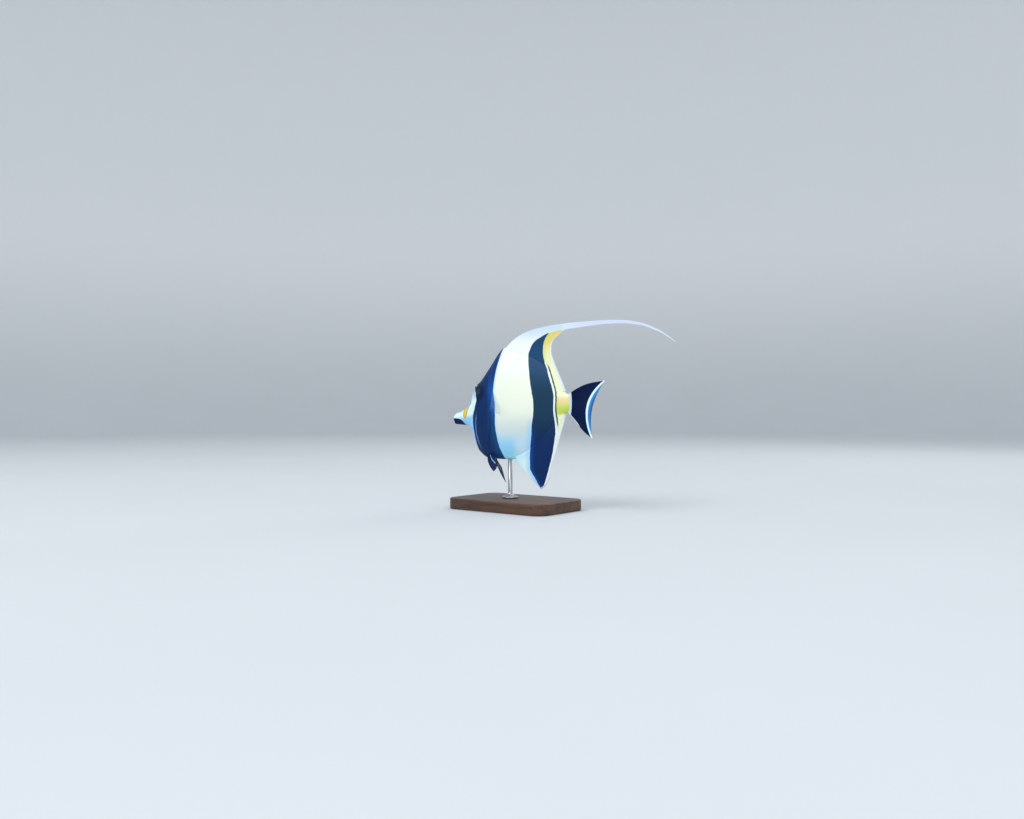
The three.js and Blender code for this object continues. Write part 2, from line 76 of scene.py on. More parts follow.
def smooth(value, start, end):
    """0 before start and 1 after end, with an eased step between them."""
    f = clamp((value - start) / (end - start))
    return f * f * (3 - 2 * f)


def fade(value, start, end):
    """1 before start and 0 after end."""
    return smooth(-value, -end, -start)


def hump(distance, width):
    return math.exp(-((distance / width) ** 2))


def through(*points):
    """A smooth curve through (place, value) pairs that never overshoots them."""
    places = [p[0] for p in points]
    steps = [(b[1] - a[1]) / (b[0] - a[0]) for a, b in zip(points, points[1:])]
    slopes = []
    for i in range(len(points)):
        before, after = steps[max(i - 1, 0)], steps[min(i, len(steps) - 1)]
        slopes.append(0.0 if before * after <= 0 else 2 * before * after / (before + after))

    def curve(place):
        i = int(clamp(bisect_right(places, place) - 1, 0, len(points) - 2))
        width = places[i + 1] - places[i]
        f = clamp((place - places[i]) / width)
        bend = f * f * (3 - 2 * f)
        rest = width * f * (1 - f) * (slopes[i] * (1 - f) - slopes[i + 1] * f)
        return lerp(points[i][1], points[i + 1][1], bend) + rest

    return curve


def seal(bm):
    """Joins the points that meet and turns every face outward."""
    bmesh.ops.remove_doubles(bm, verts=bm.verts, dist=SAME_POINT)
    bmesh.ops.recalc_face_normals(bm, faces=bm.faces)


# The body's surface
BACK_LINE = through(
    (0, 0.2), (1.2, 0.9), (2.8, 1.75), (4.4, 2.15), (6.2, 2.3), (7.4, 2.95), (8.6, 3.9), (10.5, 4.8),
    (13, 5.4), (14.6, 6.6), (15.7, 7.8), (17, 9.1), (18.3, 10.6), (18.9, 13), (19, 16), (19.15, 19.2),
    (21, 21.6), (23.6, 23), (32.3, 32.7), (41.2, 43.6), (44.5, 46), (54, 44.5), (66, 42), (77.4, 36.8),
    (85, 29.4), (90, 22), (94, 16.3), (97, 14.2), (100, 13.9))
BELLY_LINE = through(
    (0, -5.2), (1.2, -6), (5, -6.3), (11, -6.6), (15.5, -8.3), (17.8, -12), (20.2, -18.4),
    (24.8, -25.3), (31.5, -28.9), (46, -29.4), (53, -29.2), (62, -26.6), (72, -20.6), (82, -11.8),
    (90, -3), (94, 0.8), (97, 2.2), (100, 2.7))
WIDEST_LEVEL = through(
    (0, -2.4), (6, -2), (12, -0.6), (20, 3.2), (30, 6), (45, 6.5), (70, 8), (100, 8.3))
HALF_WIDTH = through(
    (0, 1.9), (2, 2.3), (6, 2.6), (11, 3.1), (14.5, 4.05), (17, 4.4), (20, 4.8), (24, 6.4), (34, 7.7),
    (46, 8.3), (58, 8), (70, 6.6), (82, 4.4), (92, 2.8), (100, 2))
BACK_KEEL = through((0, 1), (14, 1), (26, 1.15), (45, 1.6), (75, 1.8), (92, 1.3), (100, 1))
BELLY_KEEL = through((0, 1), (20, 1), (44, 1.15), (56, 1.6), (80, 1.9), (92, 1.3), (100, 1))
LEAN_ABOVE = through(
    (0, 0), (8, 0), (14, 0.8), (22, 3.6), (30, 5.6), (GILL_EDGE, 5.2), (55, 1.5), (75, 0),
    (95, 0), (100, 1.4))
LEAN_BELOW = through(
    (0, 0), (8, 0), (14, 0.6), (28, 6), (GILL_EDGE, 6), (55, 1.5), (75, 0), (95, 0), (100, 1))
RING_PLACE = through(
    (0, 0), (2, 0.013), (6, 0.12), (12, 0.47), (18, 0.99), (24, 1.6), (60, 9), (180, GILL_EDGE + 1),
    (214, 60), (270, 97), (300, BODY_END))
RINGS = 300
AROUND = 220
MOUTH_LINE = through((-1, -1.7), (0, -1.8), (1.5, -2.2), (3.4, -3.3))
NOSTRILS = ((21, 14.4, 0.42), (22.2, 12.7, 0.34))
LATERAL_LINE = through((40, 19), (46, 27), (54, 31.5), (64, 32), (74, 27), (84, 18.5), (91, 12), (98, 9))
FLANK_CROWDING = 0.2
# How far the skin's grid is made finer round the mouth, the eyelids and, in radii, the nostrils
MOUTH_LENGTH, MOUTH_REACH = 4.4, 2.6
EYELID_REACH, NOSTRIL_REACH = 4.6, 3


def tip_scale(s):
    """Rounds the body off to a point at the snout tip."""
    if s < TIP_ROUNDING:
        return math.sqrt(max(0.0, 1 - (1 - s / TIP_ROUNDING) ** 2))
    return 1.0


def end_scale(s):
    """Closes the body to an edge where it ends inside the tail fin."""
    f = clamp((s - BODY_END + END_CLOSING) / END_CLOSING)
    return math.sqrt(1 - f * f)


def back_at(s):
    level = WIDEST_LEVEL(s)
    return level + (BACK_LINE(s) - level) * tip_scale(s)


def belly_at(s):
    level = WIDEST_LEVEL(s)
    return level + (BELLY_LINE(s) - level) * tip_scale(s)


def past_gill(s, z):
    """How far a point lies behind the gill cover's rear edge."""
    if z > 0:
        return s + LEAN_ABOVE(GILL_EDGE) * (z / GILL_TOP) ** 2 - GILL_EDGE
    return s + LEAN_BELOW(GILL_EDGE) * (z / GILL_BOTTOM) ** 2 - GILL_EDGE


def from_eye(s, z):
    return math.hypot(s - EYE_S, z - EYE_Z)


def relief(s, z):
    """Lips, brow ridge round the eye, cheek and the raised edge of the gill cover."""
    lips = 0.3 * hump(s - 1, 1) * hump(z + 1.9, 1.3)
    brow = 0.4 * hump(from_eye(s, z) - 0.9 * EYE_RADIUS, 1.5)
    cheek = 0.35 * hump(s - 27, 6) * hump(z - 1, 9)
    behind = past_gill(s, z)
    cover = 0.4 * hump(behind, 5) * hump(z - 3, 20) if behind < 0 else 0
    return lips + brow + cheek + cover


def half_width_at(s, z):
    """How far the body's side stands out from its middle plane."""
    level = WIDEST_LEVEL(s)
    above = z > level
    reach = back_at(s) - level if above else level - belly_at(s)
    height = min(1.0, abs(z - level) / max(reach, TINY))
    section = max(0.0, 1 - height ** 2)
    keel = BACK_KEEL(s) if above else BELLY_KEEL(s)
    return (HALF_WIDTH(s) * section ** (keel / 2) + relief(s, z) * section) * tip_scale(s)


def ring_point(station, angle):
    """Where a ring that leans with the body passes, at an angle from the back."""
    up = math.cos(angle)
    lean = (LEAN_ABOVE if up > 0 else LEAN_BELOW)(station)
    edge = (back_at if up > 0 else belly_at)(station - lean)
    level = WIDEST_LEVEL(station)
    return station - lean * up * up, level + (edge - level) * abs(up)


def skin_point(a, b):
    """The skin's point for a ring a and a turn b, both from 0 to 1."""
    station = RING_PLACE(a * RINGS)
    angle = 2 * math.pi * b + FLANK_CROWDING * math.sin(4 * math.pi * b)
    s, z = ring_point(station, angle)
    out = -math.sin(angle)
    side = 0.0 if abs(out) < TINY else math.copysign(half_width_at(s, z), out)
    return s, side * end_scale(station), z


# The skin's small forms, each in millimetres along its normal
def mouth_forms(s, z):
    """The lips' rolls, the slit between them, the groove at its corner and the parted tip."""
    line = z - MOUTH_LINE(s)
    along = fade(s, 2.4, 3.4)
    slit = -0.75 * hump(line, 0.2) * along
    rolls = hump(line - 0.75, 0.5) + hump(line + 0.8, 0.55)
    lips = 0.5 * rolls * along * smooth(s, 0.25, 1)
    corner = -0.4 * hump(s - 3.1 - 0.12 * line ** 2, 0.4) * fade(abs(line), 2.2, 3.2)
    parted = -1.4 * hump(line + 0.5, 1.2) * fade(s, 0.4, 1.6)
    return slit + lips + corner + parted


def nostril_forms(s, z):
    """Two pits on each side, each with a raised rim."""
    pits = 0.0
    for place, height, radius in NOSTRILS:
        away = math.hypot(s - place, z - height)
        if away < NOSTRIL_REACH * radius:
            pits += 0.22 * hump(away - 1.3 * radius, 0.4 * radius)
            pits -= 0.8 * fade(away, 0.5 * radius, 1.05 * radius)
    return pits


def gill_forms(s, z):
    """The slit behind the gill cover and the groove behind the cheek."""
    behind = past_gill(s, z)
    slit = -0.55 * hump(behind - 0.25, 0.38) * smooth(z, -24, -18) * fade(z, 12, 18)
    groove = -0.16 * hump(behind + 6.5, 0.45) * smooth(z, -18, -12) * fade(z, 3, 8)
    return slit + groove


def eyelid_forms(s, z):
    """The groove and the roll round the eye."""
    away = from_eye(s, z)
    return -0.25 * hump(away - 2.75, 0.3) + 0.2 * hump(away - 3.45, 0.4)


def lateral_line(s, z):
    """The raised row of pores along the flank."""
    return 0.1 * hump(z - LATERAL_LINE(s), 0.32) * smooth(s, 40, 42) * fade(s, 94, 97)


SMALL_FORMS = (mouth_forms, nostril_forms, gill_forms, eyelid_forms, lateral_line)


def near_nostril(s, z):
    return any(math.hypot(s - n[0], z - n[1]) < NOSTRIL_REACH * n[2] for n in NOSTRILS)


def near_small_forms(s, z):
    if s < MOUTH_LENGTH:
        return abs(z - MOUTH_LINE(s)) < MOUTH_REACH
    return from_eye(s, z) < EYELID_REACH or near_nostril(s, z)


def refine(bm, wanted):
    """Divides the faces of the flat grid whose place on the skin is wanted."""
    edges = set()
    for face in bm.faces:
        centre = face.calc_center_median()
        s, _, z = skin_point(centre.x + 0.5, centre.y + 0.5)
        if wanted(s, z):
            edges.update(face.edges)
    bmesh.ops.subdivide_edges(bm, edges=list(edges), cuts=1, use_grid_fill=True)


def build_skin():
    """One closed skin: a grid rolled round the body, then raised and sunk by the small forms."""
    bm = bmesh.new()
    bmesh.ops.create_grid(bm, x_segments=RINGS, y_segments=AROUND, size=0.5)
    refine(bm, near_small_forms)
    refine(bm, near_nostril)
    for vert in bm.verts:
        vert.co = at(*skin_point(vert.co.x + 0.5, vert.co.y + 0.5))
    seal(bm)
    bm.normal_update()
    moves = []
    for vert in bm.verts:
        s = vert.co.x / PERCENT + BALANCE
        z = (vert.co.z - SNOUT_HEIGHT) / PERCENT
        moves.append(vert.normal * sum(form(s, z) for form in SMALL_FORMS) * MM)
    for vert, move in zip(bm.verts, moves):
        vert.co += move
    return bm


# The fins
EDGE_ROUNDING = 0.012
ROOT_ROUNDING = 0.01
ROW_CROWDING = 0.9


def margin_through(*points):
    """A curve by arc length, from 0 to 1, through (s, z) points."""
    lengths = [0.0]
    for a, b in zip(points, points[1:]):
        lengths.append(lengths[-1] + math.dist(a, b))
    along_s = through(*((l, p[0]) for l, p in zip(lengths, points)))
    along_z = through(*((l, p[1]) for l, p in zip(lengths, points)))
    return lambda f: (along_s(f * lengths[-1]), along_z(f * lengths[-1]))


def ray_height(u, v, rays, branching):
    """The ridge of a fin ray, from 0 to 1, where the ray forks toward the margin."""
    phase = (u * rays) % 1 - 0.5
    forked = smooth(v, branching, branching + 0.25)
    fork = 0.23 * forked
    width = 0.17 - 0.06 * forked
    return max(hump(phase - fork, width), hump(phase + fork, width))


def blade(middle, membrane, ridge, rays, columns, rows, branching=0.5):
    """A closed thin fin. middle(u, v) is its middle surface, u from the first ray to the last
    and v from the root to the margin; membrane and ridge give half thicknesses in millimetres.
    Its points keep u, v, the height of the ray there and the millimetres to the margin, for
    the fin's paint."""
    step = 0.004
    bm = bmesh.new()
    bmesh.ops.create_grid(bm, x_segments=2 * columns, y_segments=rows, size=0.5)
    kept = [bm.verts.layers.float.new(name) for name in ("fin_u", "fin_v", "fin_ray", "fin_edge")]
    for vert in bm.verts:
        a = vert.co.x + 0.5
        u = 2 * a if a <= 0.5 else 2 - 2 * a
        side = 1 if a <= 0.5 else -1
        v = (vert.co.y + 0.5) ** ROW_CROWDING
        across = middle(clamp(u + step), v) - middle(clamp(u - step), v)
        along = middle(u, clamp(v + step)) - middle(u, clamp(v - step))
        normal = across.cross(along).normalized()
        ray = ray_height(u, v, rays, branching)
        to_edge = min(min(u, 1 - u, 1 - v) / EDGE_ROUNDING, v / ROOT_ROUNDING)
        rounding = math.sqrt(max(0.0, 1 - (1 - clamp(to_edge)) ** 2))
        half = (membrane(u, v) + ridge(u, v) * ray) * rounding
        vert.co = middle(u, v) + normal * (side * half * MM)
        to_margin = (middle(u, 1) - middle(u, v)).length / MM
        for layer, value in zip(kept, (u, v, ray, to_margin)):
            vert[layer] = value
    seal(bm)
    return bm


def taper(root, margin):
    """Half thickness that falls fast from the root."""
    return lambda u, v: lerp(margin, root, (1 - v) ** 3)


def fleshy(middle, root, margin, reach):
    """Half thickness that falls off from a fleshy root over a reach in millimetres."""
    lengths = [(middle(i / 40, 1) - middle(i / 40, 0)).length / MM for i in range(41)]
    return lambda u, v: lerp(margin, root, math.exp(-v * lengths[round(u * 40)] / reach))


def ridges(root, fall):
    """How far rays stand out, less toward the margin."""
    return lambda u, v: root * (1 - fall * v)


def middle_fin(base_line, start, end, sunk, margin, crowding, bow, wave):
    """The middle surface of a fin in the fish's middle plane, with a slight wave at its rear."""
    def middle(u, v):
        s = lerp(start, end, u)
        root = (s, base_line(s))
        tip = margin(u ** crowding)
        rise = bow * (1 - u) ** 2 * math.sin(math.pi * v ** 0.7) + sunk * (1 - v) ** 8
        sway = wave * u * v ** 1.5 * math.sin(5 * u + 2.4 * v)
        return at(lerp(root[0], tip[0], v), sway, lerp(root[1], tip[1], v) + rise)

    return middle


DORSAL_MARGIN = margin_through(
    (96, 59.9), (96, 57.4), (95.6, 56), (93, 54.7), (89.4, 52.5), (85.8, 49.6), (84.1, 46),
    (84, 41.5), (86.3, 35), (90.2, 26.6), (93.4, 20.1), (95.2, 15.6))
ANAL_MARGIN = margin_through(
    (75.8, -48.1), (78, -46.9), (81.4, -43), (82.8, -38.6), (84.2, -32), (87, -25.4),
    (91.6, -11.6), (94.3, -3.8), (95.4, 1.4))
DORSAL_START = 44.6
STREAMER_START, STREAMER_FREE, STREAMER_END = 86, 96, 174
STREAMER_TOP = through((96, 59.9), (121, 60.1), (136, 59.5), (150, 57.2), (164, 51.4), (174, 44.6))
STREAMER_DEPTH = through((96, 4.2), (108, 3.5), (125, 2.6), (150, 1.8), (166, 1), (174, 0.4))
EMERGING = 0.12
TAIL = dict(root=98.6, level=8.3, root_half=5.2, tip_half=19.8, notch=17.2, lobe=5, fullness=1.6,
            wrap=1.3, droop=10, twist=22)

dorsal_middle = middle_fin(BACK_LINE, start=DORSAL_START, end=94, sunk=-3, margin=DORSAL_MARGIN,
                           crowding=1.5, bow=4.8, wave=0.25)
anal_middle = middle_fin(BELLY_LINE, start=54.5, end=94.4, sunk=3, margin=ANAL_MARGIN,
                         crowding=1.3, bow=-1.2, wave=0.25)


def tail_middle(u, v):
    """The forked tail fin, wrapped round the stalk's end, drooping and turned to one side."""
    spread = 1 - 2 * u
    wrap = TAIL["wrap"] * spread ** 2 * (1 - v)
    length = TAIL["notch"] + TAIL["lobe"] * spread ** 2 - wrap
    half = lerp(TAIL["root_half"], TAIL["tip_half"], v) + TAIL["fullness"] * math.sin(math.pi * v)
    rise = spread * half
    twist = math.radians(TAIL["twist"]) * smooth(v, 0, 1)
    drop = math.tan(math.radians(TAIL["droop"])) * length * v
    s = TAIL["root"] + length * v - wrap
    return at(s, -rise * math.sin(twist), TAIL["level"] + rise * math.cos(twist) - drop)


def streamer_middle(u, v):
    """The trailing filament, from inside the dorsal fin's first rays to its tip."""
    s = lerp(STREAMER_START, STREAMER_END, v)
    if s < STREAMER_FREE:
        first_ray = dorsal_middle(0, (s - DORSAL_START) / (STREAMER_FREE - DORSAL_START))
        top = (first_ray.z - SNOUT_HEIGHT) / PERCENT
    else:
        top = STREAMER_TOP(s)
    return at(s, 0, top - lerp(0.005, 0.995, u) * STREAMER_DEPTH(max(s, STREAMER_FREE)))


def out_of_dorsal(root, tip):
    """A thickness that grows from nothing where the streamer leaves the dorsal fin."""
    return lambda u, v: lerp(root, tip, v) * smooth(v, 0, EMERGING)


def fan_middle(fan, side, matrix):
    """The middle surface of a paired fin, which opens from its first, longest ray."""
    def middle(u, v):
        angle = math.radians(lerp(fan["first_angle"], fan["last_angle"], u) + fan["bend"] * v)
        length = lerp(fan["first"], fan["last"], u ** 1.2) * v
        opening = math.copysign(1, fan["first_angle"] - fan["last_angle"])
        x = math.cos(angle) * length
        z = math.sin(angle) * length + fan["base"] * (0.5 - u) * opening
        y = side * fan["cup"] * (length / fan["first"]) ** 2 * (0.4 + math.sin(math.pi * u))
        return matrix @ (Vector((x, y, z)) * PERCENT)

    return middle


def fin_matrix(root, tip, closes_to):
    """Turns a fan so that its first ray points at the tip and its Z axis leans to closes_to."""
    out = (tip - root).normalized()
    z = (closes_to - out * closes_to.dot(out)).normalized()
    y = z.cross(out)
    turn = Matrix((out, y, z)).transposed().to_4x4()
    return Matrix.Translation(root) @ turn


PECTORAL_FAN = dict(base=4.6, first=20.5, last=7.5, first_angle=-2, last_angle=38, bend=4, cup=0.8)
PELVIC_FANS = {
    "left": dict(base=2.6, first=17.4, last=9, first_angle=-12, last_angle=4, bend=20, cup=0.5),
    "right": dict(base=2.6, first=22, last=11, first_angle=-20, last_angle=-6, bend=32, cup=0.5)}
PELVIC_TIPS = {"left": (43, 11, -37), "right": (40, -6.5, -45.4)}


def pectoral_middle(side):
    s, z, sunk = 39.8, 2.4, 1
    root = at(s, side * (half_width_at(s, z) - sunk), z)
    matrix = fin_matrix(root, at(52, side * 18.5, 16), direction(0.95, side * 0.3, 0))
    return fan_middle(PECTORAL_FAN, side, matrix)


def pelvic_middle(name, side):
    root = at(33.8, side * 2.3, -26)
    matrix = fin_matrix(root, at(*PELVIC_TIPS[name]), direction(0.8, side * -0.6, 0.2))
    return fan_middle(PELVIC_FANS[name], side, matrix)


# The language of the paints
def rgb(red, green, blue):
    """A paint colour from its screen values, 0 to 255, as linear light."""
    def linear(c):
        c /= 255
        return c / 12.92 if c <= 0.04045 else ((c + 0.055) / 1.055) ** 2.4
    return (linear(red), linear(green), linear(blue), 1.0)


class Level:
    """A number, place or colour that varies over a surface. Its operators add Math nodes, so
    they are for numbers; colours go through a finish's mix and dim."""
    def __init__(self, finish, socket):
        self.finish, self.socket = finish, socket

    def _math(self, operation, first, second=None):
        return self.finish.node("ShaderNodeMath", {"operation": operation}, first, second)

    def __add__(self, other):
        return self._math("ADD", self, other)

    def __radd__(self, other):
        return self._math("ADD", other, self)

    def __sub__(self, other):
        return self._math("SUBTRACT", self, other)

    def __rsub__(self, other):
        return self._math("SUBTRACT", other, self)

    def __mul__(self, other):
        return self._math("MULTIPLY", self, other)

    def __rmul__(self, other):
        return self._math("MULTIPLY", other, self)

    def __truediv__(self, other):
        return self._math("DIVIDE", self, other)

    def __neg__(self):
        return self * -1.0

    def __abs__(self):
        return self._math("ABSOLUTE", self)

    def highest(self, other):
        return self._math("MAXIMUM", self, other)


class Finish:
    """One material and the nodes that make it."""
    def __init__(self, name):
        self.material = bpy.data.materials.new(name)
        self.material.use_nodes = True
        self.tree = self.material.node_tree
        self.tree.nodes.clear()
        self.places = None

    def node(self, kind, settings, *values, output=0, **named):
        """Adds a node: its settings come first, then the values or links of its sockets."""
        made = self.tree.nodes.new(kind)
        for key, value in settings.items():
            if key == "points":
                self._set_points(made.mapping, value)
            else:
                setattr(made, key, value)
        for key, value in list(enumerate(values)) + list(named.items()):
            socket = made.inputs[key.replace("_", " ") if isinstance(key, str) else key]
            if isinstance(value, Level):
                self.tree.links.new(value.socket, socket)
            elif value is not None:
                socket.default_value = value
        return Level(self, made.outputs[output]) if made.outputs else None

    @staticmethod
    def _set_points(mapping, points):
        curve = mapping.curves[0]
        while len(curve.points) < len(points):
            curve.points.new(0.5, 0.5)
        for point, place in zip(curve.points, points):
            point.location = place
            point.handle_type = "AUTO_CLAMPED"
        mapping.update()

    def spot(self):
        """Where a point of the surface is, as object coordinates in metres."""
        if self.places is None:
            self.places = self.node("ShaderNodeTexCoord", {}, output="Object")
        return self.places

    def kept(self, name):
        """A number kept with the points of the piece."""
        return self.node("ShaderNodeAttribute", {"attribute_name": name}, output="Fac")

    def axes(self):
        """x, y and height of a point, in metres."""
        x = self.node("ShaderNodeSeparateXYZ", {}, self.spot())
        return [Level(self, socket) for socket in x.socket.node.outputs]

    def body_axes(self):
        """s and z of a point, in percents of the standard length."""
        x, _, height = self.axes()
        return x / PERCENT + BALANCE, (height - SNOUT_HEIGHT) / PERCENT

    def ease(self, value, start, end):
        """0 before start and 1 after end."""
        return self.node("ShaderNodeMapRange", {"interpolation_type": "SMOOTHSTEP"},
                         value, start, end, 0.0, 1.0)

    def fade(self, value, start, end):
        """1 before start and 0 after end."""
        return self.ease(-value, -end, -start)

    def band(self, value, start, end, soft):
        """1 between start and end, with soft edges."""
        return self.ease(value - start, -soft, soft) * self.ease(end - value, -soft, soft)

    def curve(self, value, points, start, end, top, lift=0):
        """A curve of value through (place, amount) pairs, with places from start to end and
        amounts from -lift to top - lift."""
        scaled = [((p - start) / (end - start), (amount + lift) / top) for p, amount in sorted(points)]
        share = (value - start) / (end - start)
        curve = self.node("ShaderNodeFloatCurve", {"points": scaled}, 1.0, share) * top
        return curve - lift if lift else curve

    def noise(self, scale, detail):
        return self.node("ShaderNodeTexNoise", {}, self.spot(), Scale=scale, Detail=detail)

    def grain(self, x, y, z, detail, distortion=0.0):
        """Noise with a scale of its own along each axis, as in wood and brushed metal."""
        drawn_out = self.node("ShaderNodeVectorMath", {"operation": "MULTIPLY"}, self.spot(), (x, y, z))
        return self.node("ShaderNodeTexNoise", {}, drawn_out, Scale=1.0, Detail=detail,
                         Distortion=distortion)

    def mix(self, mask, under, over):
        """The over colour where the mask is 1."""
        for_numbers_and_vectors = [None] * 5
        return self.node("ShaderNodeMix", {"data_type": "RGBA"}, mask, *for_numbers_and_vectors,
                         under, over, output=2)

    def dim(self, colour, share):
        return self.node("ShaderNodeVectorMath", {"operation": "SCALE"}, colour, Scale=share)

    def bump(self, height, depth, strength, under=None):
        return self.node("ShaderNodeBump", {}, Strength=strength, Distance=depth * MM, Height=height,
                         Normal=under)

    def close(self, **inputs):
        """Joins the inputs to one Principled shader, the material's surface."""
        shader = self.node("ShaderNodeBsdfPrincipled", {}, **inputs)
        self.node("ShaderNodeOutputMaterial", {}, shader)
        return self.material


# The paints
WHITE = rgb(242, 248, 230)
SHADED_LOW_WHITE = rgb(208, 224, 224)
BACK_WHITE = rgb(242, 250, 252)
ANAL_WHITE = rgb(234, 252, 246)
FACE_WHITE = rgb(224, 250, 247)
REAR_WHITE = rgb(230, 242, 246)
LINE_WHITE = rgb(238, 247, 246)
MARGIN_WHITE = rgb(230, 243, 250)
SKY = rgb(155, 220, 255)
PAINTED_LIGHT_BELLY = rgb(170, 244, 255)
PAINTED_LIGHT_REAR_BELLY = rgb(206, 238, 255)
FRINGE_BLUE = rgb(172, 222, 255)
PALE_BLUE = rgb(208, 228, 248)
STREAMER_BLUE = rgb(214, 222, 242)
STALK_BLUE = rgb(192, 224, 240)
SHADE_BLUE = rgb(120, 172, 216)
FACE_BLUE = rgb(150, 207, 247)
LINE_BLUE = rgb(122, 160, 232)
NAVY = rgb(0, 42, 94)
DEEP = rgb(0, 24, 62)
EYE_DEEP = rgb(0, 28, 64)
CHIN_DEEP = rgb(0, 22, 66)
SHEEN = rgb(20, 84, 164)
LOW_SHEEN = rgb(10, 70, 122)
SLATE = rgb(22, 58, 84)
SLATE_BLUE = rgb(26, 71, 110)
RIM_GREEN = rgb(28, 74, 78)
RIM_BLUE = rgb(4, 62, 142)
CREAM = rgb(240, 244, 204)
GREENISH = rgb(204, 226, 148)
YELLOW = rgb(242, 244, 174)
GOLD = rgb(240, 220, 118)
SADDLE = rgb(228, 198, 72)
SADDLE_RIM = rgb(38, 40, 30)
PEACH = rgb(238, 217, 156)
LIME = rgb(202, 223, 94)
LINE_GREEN = rgb(30, 84, 66)
MOUTH = rgb(34, 16, 22)

# Edges of the markings as (z, s) places, from the top of the fish down
BAR_ONE_FRONT = ((60, 10), (24, 14), (20.6, 19.3), (17, 22.8), (14, 24.6), (10.8, 25.3), (7.3, 24.6),
                 (3.9, 23.6), (-0.2, 21.4), (-6.4, 21.2), (-12, 22), (-17.5, 23), (-24, 24), (-50, 26))
BAR_ONE_REAR = ((60, 44.6), (47.7, 44.6), (43.9, 44.1), (36.4, 42.8), (29.6, 41.9), (20.8, 41.35),
                (17.4, 41.3), (12, 42.4), (8, 43.3), (1.6, 43.3), (-6.2, 42.9), (-11.6, 43.3),
                (-16.3, 43.9), (-21, 44.7), (-25.1, 45.75), (-28.6, 46.6), (-30, 47), (-50, 47))
BAR_TWO_FRONT = ((62, 99), (55, 84), (53.4, 79.15), (51.6, 75.1), (49.5, 71), (47, 68.6), (44, 67.1),
                 (40.4, 66.2), (35.6, 67.2), (30.3, 68.7), (21.8, 70.8), (13.4, 72.9), (5.9, 73.8),
                 (0, 73.2), (-5.25, 71.9), (-13.8, 70.1), (-22.6, 67.6), (-29.2, 67), (-34.5, 66.9),
                 (-37.8, 68.5), (-41.3, 71), (-44.8, 73.4), (-47.4, 75.5), (-50, 77.5))
BAR_TWO_REAR = ((62, 82), (54.5, 82.4), (53.6, 81.6), (50.4, 79.1), (47.2, 77.9), (43.3, 77.55), (40, 78),
                (36.7, 79), (34.7, 79.6), (30, 81.7), (24.7, 83.9), (20.8, 85.6), (16.9, 87.1),
                (14.9, 87.7), (10.4, 88.1), (5.2, 87.8), (0.7, 87.7), (-7.1, 87.8), (-18.8, 86.2),
                (-26, 84.6), (-35.3, 81.8), (-41, 79.9), (-45, 78.4), (-50, 76))
LIGHT_LINE = ((2, 26), (-0.9, 25.6), (-7.8, 24.6), (-13.3, 24.9), (-17.4, 26), (-21.5, 27.4), (-26, 29.6))
SADDLE_HALF = ((-2, 0), (-1.3, 0.7), (-0.2, 1.4), (1.4, 1.9), (3, 2.3), (6, 2.9), (8, 3))
# Edges that run along the fish, as (s, z) places
CHIN_TOP = ((0, -1.6), (4, -2), (6.3, -2.2), (8.5, -3), (10.5, -4.6), (12.3, -6.9), (14, -10), (30, -50))
MOUTH_PAINT = ((-1, -1.7), (0, -1.8), (1.5, -2.2), (2.5, -2.72), (3.4, -3.3), (4, -3.7))
YELLOW_TOP = ((78, 52), (82.8, 54.2), (88, 55.2), (92, 55.6), (94, 54.6), (96, 52), (100, 40))
# The heights that the edges down the fish span, and the ranges of both kinds of curves
LOWEST, HIGHEST = -50, 62
EDGE_TOP = 100
LIFTED_TOP, LIFT = 120, 60
# How far the edges stray, and half the width over which two paints meet
WANDER_ALONG, WANDER_UP, FEATHER = 0.7, 0.4, 0.14
CRISP = 0.12


